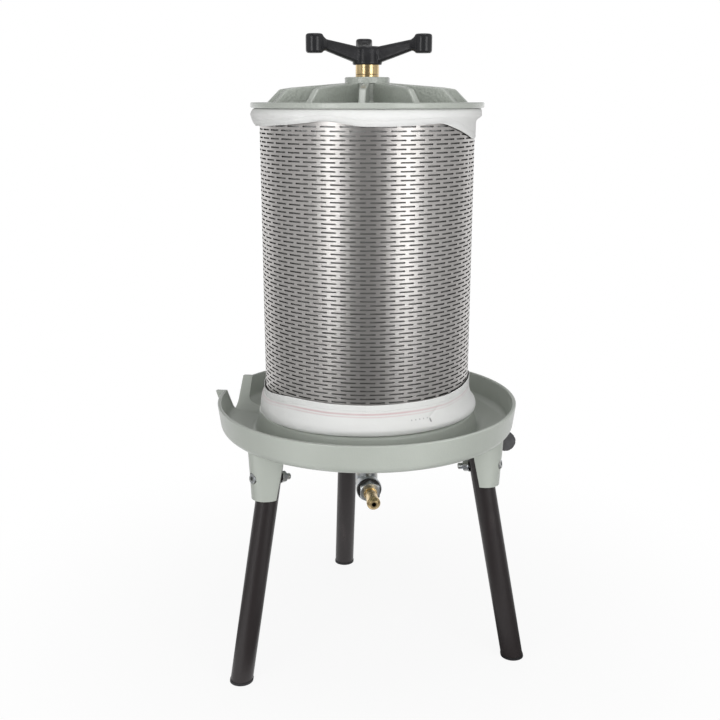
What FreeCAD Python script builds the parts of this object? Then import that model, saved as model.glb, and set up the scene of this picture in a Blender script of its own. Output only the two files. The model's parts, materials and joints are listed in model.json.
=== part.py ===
import FreeCAD, Part
import math
import os

# Pneumatic fruit press: a slotted steel basket on a cast bowl with a spout, three tube legs,
# a rubber bladder blown up from below round a central spindle, and a ribbed lid held down by
# a star handle. Millimetres, +Z up, +X to the right, -Y to the front. Every piece is drawn
# round the spindle axis, and the whole is then moved so that the origin is on the floor at the
# middle of the outline. Angles are degrees about +Z from +X.

V = FreeCAD.Vector
UP = V(0, 0, 1)

# Layout round the spindle
LEG_COUNT = 3
LEG_NAMES = ("back", "left", "right")
LEG_TURN = 99.3                 # azimuth of the back leg
SPOUT_TURN = LEG_TURN + 60      # the spout lies midway between the back and left legs
INLET_TURN = 276.5              # the hose tail points to the front
VENT_TURN = LEG_TURN - 90       # the vent arm points to the right

# Fits and edges
CLEAR = 0.3                     # gap between pieces that move or are loosely laid
HOLE_FIT = 0.2                  # radial gap of a bolt, tube or stub in its hole
SCREW_FIT = 0.05                # radial gap of the nut and of the valve stem
EDGE_FINE = 0.6
EDGE = 1.5
EDGE_SOFT = 3.0
PAST = 1.0                      # how far a cut runs past the face that it leaves
BEYOND = 300.0                  # half of a trimming block, wider than the whole press

# Basket
BASKET_R = 130.0
BASKET_H = 370.0
SHEET = 1.5
RING_T = 6.6                    # how far the stiffening rings stand out
RING_H = 8.0
RING_INSET = 0.5                # rings stop this short of the sheet's ends

# Bowl casting, its heights measured down from the rim
RIM_Z = 334.0
BOWL_R = 192.5                  # outside of the rim
WALL = 4.5
WALL_LEAN = 4.5                 # how far the wall leans in from the rim to its corner
UNDER_DROP = 34.5
UNDER_SLOPE = 0.224             # rise of the underside for each mm outward
CORNER_FILLET = 12.0
PEDESTAL_DROP = 9.0
PEDESTAL_R = BASKET_R + 8.4
PEDESTAL_FOOT_R = PEDESTAL_R + 6.4
PEDESTAL_WALL = 5.0
PEDESTAL_EDGE = 4.0
PEDESTAL_ROOT = 6.0
BOSS_R = 32.0
BOSS_T = 13.0                   # thickness of the pedestal at the central boss
CORNER_R = BOWL_R - WALL_LEAN   # where the wall and the underside would meet
UNDER_Z = RIM_Z - UNDER_DROP    # underside at CORNER_R
PEDESTAL_Z = RIM_Z - PEDESTAL_DROP
BOSS_Z = PEDESTAL_Z - BOSS_T

# Spout
SPOUT_REACH = BOWL_R + 6.0
SPOUT_START = PEDESTAL_FOOT_R + 3.2
SPOUT_TOP_HALF = 34.5           # half the width at rim height
SPOUT_FLOOR_R = 25.0            # radius of the rounded floor
SPOUT_FLOOR_Z = RIM_Z - 43.0    # floor at the lip
SPOUT_FALL = 0.07               # fall of the floor for each mm outward
SPOUT_DIP = 1.0                 # how far the side walls drop below the rim at the lip
SPOUT_TAKE = 20.0               # how far the juice's way is drawn past the lip and above the rim

# Leg sockets, half shells open to the inside
TUBE_R = 14.0
SOCKET_WALL = 4.3
SOCKET_TOP_Z = RIM_Z - 28.0
SOCKET_H = 69.5
SOCKET_BOTTOM_Z = SOCKET_TOP_Z - SOCKET_H
SOCKET_HALF_LOW = TUBE_R + SOCKET_WALL
SOCKET_DEPTH_LOW = SOCKET_HALF_LOW + 1.7
SOCKET_HALF_HIGH = SOCKET_HALF_LOW + 5.5
SOCKET_DEPTH_HIGH = SOCKET_DEPTH_LOW + 17.5
SOCKET_BACK = 0.5               # how far the half shell reaches in past the tube's axis
SOCKET_BOSS = 1.5               # rim of the bolt's boss outside the washer

# Legs
TUBE_WALL = 1.5
LEG_TILT = 11.0
FOOT_R = 204.5                  # tube axis at the floor
LEG_TOP_Z = SOCKET_TOP_Z - 22.0
FOOT_PAD = 3.0
FOOT_PLUG = 14.0
FOOT_RIM = 0.6                  # how far the pad stands out round the tube

# Leg bolts, measured from the tube's axis
BOLT_Z = SOCKET_BOTTOM_Z + 23.5 # height where the bolt crosses the tube's axis
BOLT_R = 4.0
BOLT_HEAD_R = 6.3
BOLT_HEAD_H = 4.2
BOLT_HEAD_SEAT = TUBE_R + 9.0
BOLT_KEY = 5.0                  # across the flats of the key's socket
BOLT_KEY_DEPTH = 2.4
NUT_ACROSS = 13.0
NUT_H = 6.5
WASHER_R = NUT_ACROSS / 2 + 1.5
WASHER_T = 1.6
BOLT_TAIL = TUBE_R + WASHER_T + NUT_H + 7.4

# Press bag, turned out over both ends of the basket
CLOTH = 1.0
CLOTH_TURN = 0.5                # radius inside the folds over the sheet's ends
BASKET_LOW = PEDESTAL_Z + 2 * CLEAR + CLOTH
BASKET_HIGH = BASKET_LOW + BASKET_H
FOLD_LOW = BASKET_HIGH - 17.6   # lower edge of the cloth turned out at the top
CUFF_HIGH = BASKET_LOW + 36.4   # upper edge of the cloth turned out at the bottom

# Spindle
SPINDLE_R = 10.0
STUB_R = 13.2
STUB_BOTTOM = BOSS_Z - 28.0
FLANGE_T = 8.0
HUB_R = 22.0
HUB_TOP = PEDESTAL_Z + 27.0
COLLAR_R = 18.0
COLLAR_HIGH = BASKET_HIGH - 24.6
COLLAR_LOW = COLLAR_HIGH - 20.0
CONE_H = 8.0                    # height of the cones between the shaft and its thicker parts
AIR_BORE_R = 5.0
AIR_BORE_TOP = HUB_TOP + 20.0
AIR_HOLE_R = 3.5

# Bladder
BLADDER_R = 38.0
BLADDER_WALL = 3.5
BLADDER_LIP = 14.0              # length gripped at each end
BLADDER_SHOULDER = 24.0         # height over which the sleeve widens or narrows
BLADDER_LOW = PEDESTAL_Z + FLANGE_T + 1.0
BLADDER_HIGH = COLLAR_HIGH - 3.0
BAND_T = 1.4
BAND_W = 9.0
BAND_OFF = 3.0                  # from the bladder's end to its band
BAND_HOUSE = 6.5                # how far the screw's housing stands out
BAND_HOUSE_HALF = 6.5
BAND_SCREW_R = 2.6
BAND_SCREW_L = 8.0

# Lid casting
LID_R = BASKET_R + 10.5
LID_T = 6.5
LID_BOTTOM = BASKET_HIGH + 2 * CLEAR + CLOTH
LID_PLUG_R = BASKET_R - SHEET - CLEAR - CLOTH - 1.6
LID_PLUG_T = 4.0
LID_HOLLOW = 1.0                # how far the underside is hollowed inside the plug
LID_BORE = SPINDLE_R + 0.4
GASKET_R = LID_PLUG_R - 3.0
GASKET_BORE = GASKET_R - 18.6
GASKET_T = 6.0
LID_TOP = LID_BOTTOM + LID_T
RIB_COUNT = 12
RIB_TURN = -93.3
RIB_T = 8.0
RIB_FOOT_R = LID_R - 19.5
RIB_SHOULDER_R = LID_R - 34.5   # corner between the sloped end and the rib's top
RIB_CREST_R = LID_R - 48.5      # where the rib's top starts to rise towards the boss
RIB_RISE = 16.5
RIB_ROUND = 7.0
RIB_BROW = 12.0                 # large round where the rib's top meets its sloped end
LID_BOSS_R = 27.0
LID_BOSS_H = 28.9
LID_BOSS_BAND = 7.0             # height of the wider band round the top of the boss
LID_BOSS_STEP = 3.0
LID_BOSS_Z = LID_TOP + LID_BOSS_H

# Clamp nut and star handle, measured up from the nut's shoulder
NUT_R = 14.0
THRUST_T = 2.5
NUT_LOW = LID_BOSS_Z + 2 * CLEAR + THRUST_T
SHOULDER_Z = LID_BOSS_Z + 14.1
SPIGOT_R = 12.0
SPIGOT_H = 12.3
SPINDLE_TOP = SHOULDER_Z + SPIGOT_H + 2.0
HANDLE_TURN = 92.7
ARM_COUNT = 3
HUB_STAR_R = 17.8
HUB_STAR_H = 21.2
HUB_STAR_ROOF = 4.0             # plastic left above the nut's pocket
KNOB_R = 10.3
KNOB_RISE = 12.0                # underside of the end knobs above the shoulder
KNOB_H = 21.7
ARM_REACH = 72.6
ARM_W = 10.5
ARM_TIP_LOW = 15.2              # lower and upper edge of an arm where it meets its knob
ARM_TIP_HIGH = 27.8
ARM_ROUND = 3.2
ARM_FLARE = 8.0                 # length over which an arm flares into its knob

# Air fittings under the bowl
PIPE_BORE = 7.0
LOCK_ACROSS = 36.0
LOCK_H = 10.0
LOCK_WASHER_R = 21.0
LOCK_WASHER_T = 2.0
SCREWED_IN = 10.0               # length of pipe thread inside a fitting
TEE_HALF = 24.0
TEE_Z = STUB_BOTTOM + SCREWED_IN + 1.0 - TEE_HALF
FITTING_R = 14.5
BEAD_R = FITTING_R + 2.0
BEAD_W = 6.0
ELBOW_RISE = 26.0               # from the elbow's level axis up to its mouth
NIPPLE_GAP = 5.5                # height of the nipple's hexagon
NIPPLE_ACROSS = 26.0
NIPPLE_R = 10.0
ELBOW_Z = TEE_Z - TEE_HALF - NIPPLE_GAP - ELBOW_RISE
ELBOW_REACH = 28.0
SEAL_R = 15.2
SEAL_T = 2.5
BUSH_ACROSS = 25.0
BUSH_H = 9.0
BUSH_BORE = 6.5
TAIL_COLLAR_R = 8.8
TAIL_COLLAR_L = 5.0
TAIL_NECK_R = 7.5
TAIL_NECK_L = 23.0
TAIL_BEAD_R = 8.6
TAIL_BEAD_L = 11.0
TAIL_MOUTH_R = 5.0
TAIL_BORE = 3.0
TAIL_SCREW = 8.0                # length of the tail's thread in the bush

# Vent valve
VENT_PIPE_R = 8.6
VENT_PIPE_WALL = 2.5
VENT_ARM_WALL = 3.0             # wall of the tee's side arm
VENT_BODY_R = 10.0
VENT_REACH = BOWL_R - 10.5      # stem axis from the spindle axis
VENT_BODY_HALF = 10.0
VENT_GRIP = 5.0                 # length of the pipe inside the valve
VENT_STEM_R = 3.5
VENT_PORT_R = VENT_STEM_R - 1.0
VENT_NECK_WALL = 3.0
VENT_KNOB_R = 13.0
VENT_KNOB_T = 11.0
VENT_KNOB_OFF = 19.0            # back of the knob from the pipe axis
VENT_KNOB_GAP = 3.0
VENT_STEM_IN = 6.0              # length of the stem inside the knob
VENT_BORE = 4.0
GRIP_COUNT = 12                 # finger grooves round the knob
GRIP_R = 2.0


def rounded_wire(points):
    """Closed wire in the XZ plane from (x, z, fillet radius) corners."""
    count = len(points)
    ends = []
    for i, (x, z, fillet) in enumerate(points):
        here = V(x, 0, z)
        before = V(points[i - 1][0], 0, points[i - 1][1]) - here
        after = V(points[(i + 1) % count][0], 0, points[(i + 1) % count][1]) - here
        before.normalize()
        after.normalize()
        if fillet == 0:
            ends.append((here, here, here))
            continue
        half = before.getAngle(after) / 2
        middle = before + after
        middle.normalize()
        start = here + before * (fillet / math.tan(half))
        stop = here + after * (fillet / math.tan(half))
        crown = here + middle * (fillet / math.sin(half) - fillet)
        ends.append((start, crown, stop))
    edges = []
    for i, (start, crown, stop) in enumerate(ends):
        if (stop - start).Length > 1e-6:
            edges.append(Part.Arc(start, crown, stop).toShape())
        following = ends[(i + 1) % count][0]
        if (following - stop).Length > 1e-6:
            edges.append(Part.LineSegment(stop, following).toShape())
    return Part.Wire(edges)


def turned(points):
    """Solid of revolution about Z from (radius, height, fillet) corners."""
    return Part.Face(rounded_wire(points)).revolve(V(0, 0, 0), UP, 360)


def rod(radius, low, high):
    """Plain cylinder about Z."""
    return Part.makeCylinder(radius, high - low, V(0, 0, low))


def ring(outer, inner, low, high):
    """Plain ring about Z."""
    return turned([(inner, low, 0), (outer, low, 0), (outer, high, 0), (inner, high, 0)])


def slab(points, thickness):
    """Plate in the XZ plane from (x, z, fillet) corners, centred on Y = 0."""
    face = Part.Face(rounded_wire(points))
    face.translate(V(0, -thickness / 2, 0))
    return face.extrude(V(0, thickness, 0))


def spot(radius, azimuth, height):
    """Point at a radius and azimuth about the spindle."""
    turn = math.radians(azimuth)
    return V(radius * math.cos(turn), radius * math.sin(turn), height)


def hexagon(across, low, high, bore):
    """Hexagonal nut about Z with chamfered corners."""
    corner = across / 2 / math.cos(math.pi / 6)
    points = [spot(corner, 60 * k, low) for k in range(7)]
    prism = Part.Face(Part.makePolygon(points)).extrude(UP * (high - low))
    bevel = (corner - across / 2) * 1.2
    drop = bevel * math.tan(math.radians(30))
    wide = corner + CLEAR
    drop = (bevel + CLEAR) * math.tan(math.radians(30))
    limit = turned([(0, low, 0), (corner - bevel, low, 0), (wide, low + drop, 0), (wide, high - drop, 0),
                    (corner - bevel, high, 0), (0, high, 0)])
    return prism.common(limit).cut(rod(bore, low - PAST, high + PAST))


def spun(shape, azimuth):
    """Copy turned about the spindle axis."""
    copy = shape.copy()
    copy.rotate(V(0, 0, 0), UP, azimuth)
    return copy


def laid(shape, height, azimuth):
    """Copy whose own +Z axis lies level, pointing outward along an azimuth at a height."""
    copy = shape.copy()
    copy.rotate(V(0, 0, 0), V(0, 1, 0), 90)
    copy.translate(V(0, 0, height))
    copy.rotate(V(0, 0, 0), UP, azimuth)
    return copy


def on_leg(shape):
    """Copy moved from the leg's own frame, +Z up the tube from the floor, to azimuth 0."""
    copy = shape.copy()
    copy.rotate(V(0, 0, 0), V(0, 1, 0), -LEG_TILT)
    copy.translate(V(FOOT_R, 0, 0))
    return copy


def on_bolt(shape):
    """Copy moved from the bolt's own frame, +Z outward from the tube axis, to azimuth 0."""
    copy = shape.copy()
    copy.rotate(V(0, 0, 0), V(0, 1, 0), 90)
    copy.translate(V(0, 0, BOLT_Z / math.cos(math.radians(LEG_TILT))))
    return on_leg(copy)


def leg_azimuth(index):
    return LEG_TURN + 360 / LEG_COUNT * index


def around_legs(shape):
    """The same piece at each leg, as one group."""
    return Part.makeCompound([spun(shape, leg_azimuth(k)) for k in range(LEG_COUNT)])


def leg_axis_at(z):
    """Distance of the tube axis from the spindle axis at a height."""
    return FOOT_R - z * math.tan(math.radians(LEG_TILT))


def under(r):
    """Height of the bowl's underside outside the pedestal."""
    return UNDER_Z - (CORNER_R - r) * UNDER_SLOPE


def bowl_wall(z):
    """Outer radius of the bowl's wall at a height."""
    return BOWL_R - (RIM_Z - z) * WALL_LEAN / UNDER_DROP


def inside_corners(top):
    """Corners of the bowl's inner surface, from the spindle axis out to a height above."""
    floor_in = under(PEDESTAL_FOOT_R) + WALL
    wall_in = bowl_wall(UNDER_Z) - WALL
    floor_out = under(wall_in) + WALL
    return [(PEDESTAL_R, PEDESTAL_Z, PEDESTAL_EDGE), (PEDESTAL_FOOT_R, floor_in, PEDESTAL_ROOT),
            (wall_in, floor_out, CORNER_FILLET - WALL / 2), (bowl_wall(top) - WALL, top, 0)]


def bowl_shell():
    """Turned part of the bowl: wall, channel and raised pedestal."""
    inner = inside_corners(RIM_Z)
    lip = inner[-1][0]
    foot = PEDESTAL_FOOT_R - PEDESTAL_WALL
    roof = PEDESTAL_Z - PEDESTAL_WALL
    hole = STUB_R + CLEAR
    outside = [(BOWL_R, RIM_Z, EDGE), (CORNER_R, UNDER_Z, CORNER_FILLET), (foot, under(foot), EDGE_SOFT)]
    below = [(PEDESTAL_R - PEDESTAL_WALL, roof, PEDESTAL_EDGE), (BOSS_R, roof, EDGE_SOFT),
             (BOSS_R, BOSS_Z, EDGE), (hole, BOSS_Z, 0), (hole, PEDESTAL_Z, 0)]
    return turned(outside + below + inner[:-1] + [(lip, RIM_Z, EDGE)])


def bowl_hollow():
    """Everything above the bowl's floor and inside its wall."""
    top = RIM_Z + SPOUT_TAKE
    return turned([(0, PEDESTAL_Z, 0)] + inside_corners(top) + [(0, top, 0)])


def spout_trough(offset):
    """Rounded trough from the channel past the rim: the juice's way, or the metal grown round it."""
    radius = SPOUT_FLOOR_R + offset
    top, run_out = (RIM_Z - SPOUT_DIP, 0) if offset else (RIM_Z + SPOUT_TAKE, SPOUT_TAKE)
    centre = SPOUT_FLOOR_Z + SPOUT_FLOOR_R
    slant = (SPOUT_TOP_HALF - SPOUT_FLOOR_R) / (RIM_Z - centre)
    lean = math.atan(slant)
    # The side leaves the round floor on a tangent and leans out to the rim.
    side_y = radius * math.cos(lean)
    side_z = centre - radius * math.sin(lean)
    top_y = side_y + (top - side_z) * slant
    start = V(SPOUT_START, side_y, side_z)
    stop = V(SPOUT_START, -side_y, side_z)
    floor = Part.Arc(start, V(SPOUT_START, 0, centre - radius), stop).toShape()
    upper = Part.makePolygon([stop, V(SPOUT_START, -top_y, top), V(SPOUT_START, top_y, top), start])
    face = Part.Face(Part.Wire([floor] + upper.Edges))
    reach = SPOUT_REACH - SPOUT_START + run_out
    face.translate(V(0, 0, SPOUT_FALL * (SPOUT_REACH - SPOUT_START)))
    return face.extrude(V(reach, 0, -SPOUT_FALL * reach))


def socket_section(z, half, depth, back):
    """D-shaped section of a leg socket: half an ellipse outside the tube axis."""
    centre = leg_axis_at(z)
    steps = [math.radians(-90 + 30 * k) for k in range(7)]
    rim = [V(centre + depth * math.cos(a), half * math.sin(a), z) for a in steps]
    curve = Part.BSplineCurve()
    curve.interpolate(rim)
    sides = [rim[-1], V(centre - back, half, z), V(centre - back, -half, z), rim[0]]
    return Part.Wire([curve.toShape()] + Part.makePolygon(sides).Edges)


def leg_socket():
    """Tapered half shell that holds a leg tube, at azimuth 0, reaching up into the bowl's wall."""
    low, high, wall = SOCKET_BOTTOM_Z, SOCKET_TOP_Z, SOCKET_WALL
    outer = Part.makeLoft([socket_section(low, SOCKET_HALF_LOW, SOCKET_DEPTH_LOW, SOCKET_BACK),
                           socket_section(high, SOCKET_HALF_HIGH, SOCKET_DEPTH_HIGH, SOCKET_BACK)], True, True)
    snug = TUBE_R + HOLE_FIT
    back = 2 * TUBE_R
    hollow = Part.makeLoft([socket_section(low, snug, snug + CLEAR, back),
                            socket_section(high, SOCKET_HALF_HIGH - wall, SOCKET_DEPTH_HIGH - wall, back)],
                           True, True)
    boss = on_bolt(rod(WASHER_R + SOCKET_BOSS, snug, snug + SOCKET_DEPTH_HIGH)).common(outer)
    return outer.cut(hollow).fuse(boss)


def bowl_body_above():
    """The bowl's floor and everything above it, to trim the sockets inside the casting's wall."""
    high = RIM_Z + SPOUT_TAKE
    skin = WALL / 2
    return turned([(0, under(0) + skin, 0), (CORNER_R - skin, UNDER_Z + skin, CORNER_FILLET - skin),
                   (bowl_wall(high) - skin, high, 0), (0, high, 0)])


def juice_bowl():
    bowl = bowl_shell()
    spout = spun(spout_trough(WALL), SPOUT_TURN).cut(bowl_hollow())
    bowl = bowl.fuse(spout).cut(spun(spout_trough(0), SPOUT_TURN))
    socket = leg_socket().cut(bowl_body_above())
    bowl = bowl.fuse([spun(socket, leg_azimuth(k)) for k in range(LEG_COUNT)])
    drill = on_bolt(rod(BOLT_R + CLEAR, 0, BOLT_HEAD_SEAT + SOCKET_DEPTH_HIGH))
    recess = on_bolt(rod(BOLT_HEAD_R + 2 * CLEAR, BOLT_HEAD_SEAT, BOLT_HEAD_SEAT + SOCKET_DEPTH_HIGH))
    for k in range(LEG_COUNT):
        bowl = bowl.cut([spun(drill, leg_azimuth(k)), spun(recess, leg_azimuth(k))])
    return bowl.removeSplitter()


def layer(low, high):
    """Block wider than the whole press between two heights, for trimming."""
    return Part.makeBox(2 * BEYOND, 2 * BEYOND, high - low, V(-BEYOND, -BEYOND, low))


def leg_tube():
    """Leg tube at azimuth 0, cut level just above the floor."""
    length = LEG_TOP_Z / math.cos(math.radians(LEG_TILT))
    tube = on_leg(ring(TUBE_R, TUBE_R - TUBE_WALL, -TUBE_R, length)).cut(layer(-TUBE_R * 2, FOOT_PAD))
    return tube.cut(on_bolt(rod(BOLT_R + HOLE_FIT, -2 * TUBE_R, 2 * TUBE_R)))


def foot_cap():
    """Foot plug at azimuth 0: a level pad on the floor and a plug up inside the tube."""
    top = FOOT_PAD + FOOT_PLUG
    pad = on_leg(rod(TUBE_R + FOOT_RIM, -TUBE_R, top + TUBE_R)).common(layer(0, FOOT_PAD))
    plug = on_leg(rod(TUBE_R - TUBE_WALL, -TUBE_R, top + TUBE_R)).common(layer(FOOT_PAD, top))
    return pad.fuse(plug).removeSplitter()


def leg_bolt():
    """Round-headed bolt with a socket in its head, in the bolt's own frame."""
    head = BOLT_HEAD_SEAT + BOLT_HEAD_H
    bolt = turned([(0, -BOLT_TAIL, 0), (BOLT_R - EDGE_FINE, -BOLT_TAIL, 0),
                   (BOLT_R, -BOLT_TAIL + EDGE_FINE, 0), (BOLT_R, BOLT_HEAD_SEAT, 0),
                   (BOLT_HEAD_R, BOLT_HEAD_SEAT, 0), (BOLT_HEAD_R, head, EDGE), (0, head, 0)])
    corner = BOLT_KEY / 2 / math.cos(math.pi / 6)
    key = Part.makePolygon([spot(corner, 60 * k, head - BOLT_KEY_DEPTH) for k in range(7)])
    return on_bolt(bolt.cut(Part.Face(key).extrude(UP * BOLT_KEY)))


def leg_washer():
    seat = -TUBE_R
    return on_bolt(ring(WASHER_R, BOLT_R + HOLE_FIT, seat - WASHER_T, seat))


def leg_nut():
    seat = -TUBE_R - WASHER_T
    return on_bolt(hexagon(NUT_ACROSS, seat - NUT_H, seat, BOLT_R))


def spindle():
    """Central spindle: stub through the bowl, flange, bladder hub, shaft, collar and screw."""
    flange = PEDESTAL_Z + FLANGE_T
    foot = [(0, STUB_BOTTOM, 0), (STUB_R, STUB_BOTTOM, EDGE), (STUB_R, PEDESTAL_Z, 0),
            (BOSS_R, PEDESTAL_Z, 0), (BOSS_R, flange, EDGE), (HUB_R, flange, 0), (HUB_R, HUB_TOP, EDGE),
            (SPINDLE_R, HUB_TOP + CONE_H, 0)]
    head = [(SPINDLE_R, COLLAR_LOW - CONE_H, 0), (COLLAR_R, COLLAR_LOW, 0), (COLLAR_R, COLLAR_HIGH, EDGE),
            (SPINDLE_R, COLLAR_HIGH, 0), (SPINDLE_R, SPINDLE_TOP, EDGE), (0, SPINDLE_TOP, 0)]
    bore = rod(AIR_BORE_R, STUB_BOTTOM - PAST, AIR_BORE_TOP)
    across = laid(rod(AIR_HOLE_R, -2 * SPINDLE_R, 2 * SPINDLE_R), AIR_BORE_TOP - 2 * AIR_HOLE_R, 0)
    return turned(foot + head).cut([bore, across])


def bladder():
    """Rubber sleeve at rest, gripped on the hub below and on the collar above."""
    wall = BLADDER_WALL
    low_grip = BLADDER_LOW + BLADDER_LIP
    high_grip = BLADDER_HIGH - BLADDER_LIP
    widest_low = low_grip + BLADDER_SHOULDER
    widest_high = high_grip - BLADDER_SHOULDER
    bend = BLADDER_SHOULDER / 2
    outside = [(HUB_R, BLADDER_LOW, 0), (HUB_R + wall, BLADDER_LOW, 0),
               (HUB_R + wall, low_grip, EDGE_SOFT),
               (BLADDER_R, widest_low, bend), (BLADDER_R, widest_high, bend),
               (COLLAR_R + wall, high_grip, EDGE_SOFT), (COLLAR_R + wall, BLADDER_HIGH, 0)]
    inside = [(COLLAR_R, BLADDER_HIGH, 0), (COLLAR_R, high_grip - EDGE, EDGE_SOFT),
              (BLADDER_R - wall, widest_high, bend), (BLADDER_R - wall, widest_low, bend),
              (HUB_R, low_grip + EDGE, EDGE_SOFT)]
    return turned(outside + inside)


def hose_band(inner, low):
    """Worm-drive band with its screw housing."""
    middle = low + BAND_W / 2
    high = low + BAND_W
    band = ring(inner + BAND_T, inner, low, high)
    house = slab([(inner, low + EDGE_FINE, 0), (inner + BAND_HOUSE, low + EDGE_FINE, EDGE),
                  (inner + BAND_HOUSE, high - EDGE_FINE, EDGE), (inner, high - EDGE_FINE, 0)],
                 2 * BAND_HOUSE_HALF)
    seat = V(inner + BAND_HOUSE / 2, BAND_HOUSE_HALF, middle)
    screw = Part.makeCylinder(BAND_SCREW_R, BAND_SCREW_L, seat, V(0, 1, 0))
    return band.fuse([house, screw]).cut(rod(inner, low - PAST, high + PAST)).removeSplitter()


def basket():
    return ring(BASKET_R, BASKET_R - SHEET, BASKET_LOW, BASKET_HIGH)


def stiffening_ring(low):
    """Half-round ring welded round an end of the basket."""
    high = low + RING_H
    edge = 0.4 * RING_H
    return turned([(BASKET_R, low, 0), (BASKET_R + RING_T, low, edge), (BASKET_R + RING_T, high, edge),
                   (BASKET_R, high, 0)])


def press_bag():
    """Cloth sleeve inside the basket with both ends turned out over its rings."""
    liner = BASKET_R - SHEET - CLEAR
    near = BASKET_R + CLEAR
    over = BASKET_R + RING_T + CLEAR
    low = BASKET_LOW - CLEAR
    high = BASKET_HIGH + CLEAR
    ring_top = BASKET_LOW + RING_INSET + RING_H
    ring_low = BASKET_HIGH - RING_INSET - RING_H
    hang = near + EDGE              # the loose edge at the top hangs a little off the sheet
    fold = [(over + CLOTH, high + CLOTH, EDGE), (over + CLOTH, ring_low - EDGE, EDGE_SOFT),
            (hang + CLOTH, FOLD_LOW, 0), (hang, FOLD_LOW, 0), (over, ring_low - EDGE_FINE, EDGE_SOFT),
            (over, high, EDGE_FINE)]
    lining = [(liner, high, CLOTH_TURN), (liner, low, CLOTH_TURN)]
    cuff = [(over, low, EDGE_FINE), (over, ring_top + EDGE_FINE, EDGE), (near, ring_top + RING_H, EDGE_SOFT),
            (near, CUFF_HIGH, 0), (near + CLOTH, CUFF_HIGH, 0),
            (near + CLOTH, ring_top + RING_H + CLOTH, EDGE_SOFT), (over + CLOTH, ring_top + EDGE, EDGE_SOFT),
            (over + CLOTH, low - CLOTH, EDGE)]
    inside = [(liner - CLOTH, low - CLOTH, EDGE), (liner - CLOTH, high + CLOTH, EDGE)]
    return turned(fold + lining + cuff + inside)


def lid_rib():
    """Radial rib at azimuth 0: level from the boss, then a sloped end with a large round."""
    root = LID_BOSS_R - LID_BOSS_STEP - EDGE_SOFT
    shoulder = RIB_RISE - EDGE
    spread = (RIB_FOOT_R - RIB_SHOULDER_R) / shoulder
    rib = slab([(root, LID_TOP - PAST, 0), (RIB_FOOT_R + spread * PAST, LID_TOP - PAST, 0),
                (RIB_SHOULDER_R, LID_TOP + shoulder, RIB_ROUND),
                (RIB_CREST_R, LID_TOP + RIB_RISE + EDGE_FINE, RIB_BROW),
                (root, LID_BOSS_Z - LID_BOSS_BAND + PAST, 0)], RIB_T)
    edges = [e for e in rib.Edges if e.CenterOfMass.z > LID_TOP + PAST and e.CenterOfMass.x > root + PAST
             and abs(abs(e.CenterOfMass.y) - RIB_T / 2) < SCREW_FIT]
    return rib.makeFillet(RIB_T / 4, edges)


def lid():
    """Cast lid: flat flange, plug, twelve ribs and a bored boss."""
    seat = LID_BOTTOM - LID_PLUG_T
    hollow = LID_BOTTOM + LID_HOLLOW
    waist = LID_BOSS_R - LID_BOSS_STEP
    band = LID_BOSS_Z - LID_BOSS_BAND
    underside = [(LID_BORE, hollow, 0), (GASKET_BORE, hollow, 0), (GASKET_BORE, seat, 0),
                 (LID_PLUG_R, seat, EDGE_FINE), (LID_PLUG_R, LID_BOTTOM, 0), (LID_R, LID_BOTTOM, EDGE),
                 (LID_R, LID_TOP, EDGE)]
    boss = [(waist, LID_TOP, EDGE_SOFT), (waist, band - EDGE_FINE, 0), (LID_BOSS_R, band, 0),
            (LID_BOSS_R, LID_BOSS_Z, EDGE), (LID_BORE, LID_BOSS_Z, 0)]
    ribs = [spun(lid_rib(), RIB_TURN + 360 / RIB_COUNT * k) for k in range(RIB_COUNT)]
    return turned(underside + boss).fuse(ribs).removeSplitter()


def lid_gasket():
    seat = LID_BOTTOM - LID_PLUG_T
    low = seat - GASKET_T
    return turned([(GASKET_BORE, low, EDGE), (GASKET_R, low, EDGE), (GASKET_R, seat, 0),
                   (GASKET_BORE, seat, 0)])


def thrust_washer():
    low = LID_BOSS_Z + CLEAR
    return ring(NUT_R, LID_BORE, low, low + THRUST_T)


def clamp_nut():
    """Brass nut: a plain round shoulder below and a spigot pressed into the handle."""
    bore = SPINDLE_R + SCREW_FIT
    top = SHOULDER_Z + SPIGOT_H
    return turned([(bore, NUT_LOW, 0), (NUT_R, NUT_LOW, EDGE_FINE), (NUT_R, SHOULDER_Z, 0),
                   (SPIGOT_R, SHOULDER_Z, 0), (SPIGOT_R, top, EDGE_FINE), (bore, top, 0)])


def arm_section(reach, width, low, high):
    """Rounded oblong across an arm at azimuth 0, its heights measured from the nut's shoulder."""
    side, floor, top = width / 2, SHOULDER_Z + low, SHOULDER_Z + high
    wire = rounded_wire([(-side, floor, ARM_ROUND), (side, floor, ARM_ROUND), (side, top, ARM_ROUND),
                         (-side, top, ARM_ROUND)])
    wire.rotate(V(0, 0, 0), UP, 90)
    wire.translate(V(reach, 0, 0))
    return wire


def handle_arm():
    """Arm at azimuth 0: it slims and rises from the hub's full height, and flares into its end knob."""
    top = KNOB_RISE + KNOB_H
    neck = ARM_REACH - KNOB_R - ARM_FLARE / 2
    arm = Part.makeLoft([arm_section(HUB_STAR_R / 2, ARM_W + EDGE, 0, HUB_STAR_H - EDGE),
                         arm_section(neck, ARM_W, ARM_TIP_LOW, ARM_TIP_HIGH)], True, True)
    mouth = arm_section(neck + ARM_FLARE, 2 * KNOB_R - EDGE_SOFT, KNOB_RISE + EDGE, top - EDGE)
    flare = Part.makeLoft([arm_section(neck, ARM_W, ARM_TIP_LOW, ARM_TIP_HIGH), mouth], True, True)
    knob = turned([(0, SHOULDER_Z + KNOB_RISE, 0), (KNOB_R, SHOULDER_Z + KNOB_RISE, EDGE_SOFT),
                   (KNOB_R, SHOULDER_Z + top, EDGE_SOFT), (0, SHOULDER_Z + top, 0)])
    knob.translate(V(ARM_REACH, 0, 0))
    return arm.fuse([flare, knob])


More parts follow.
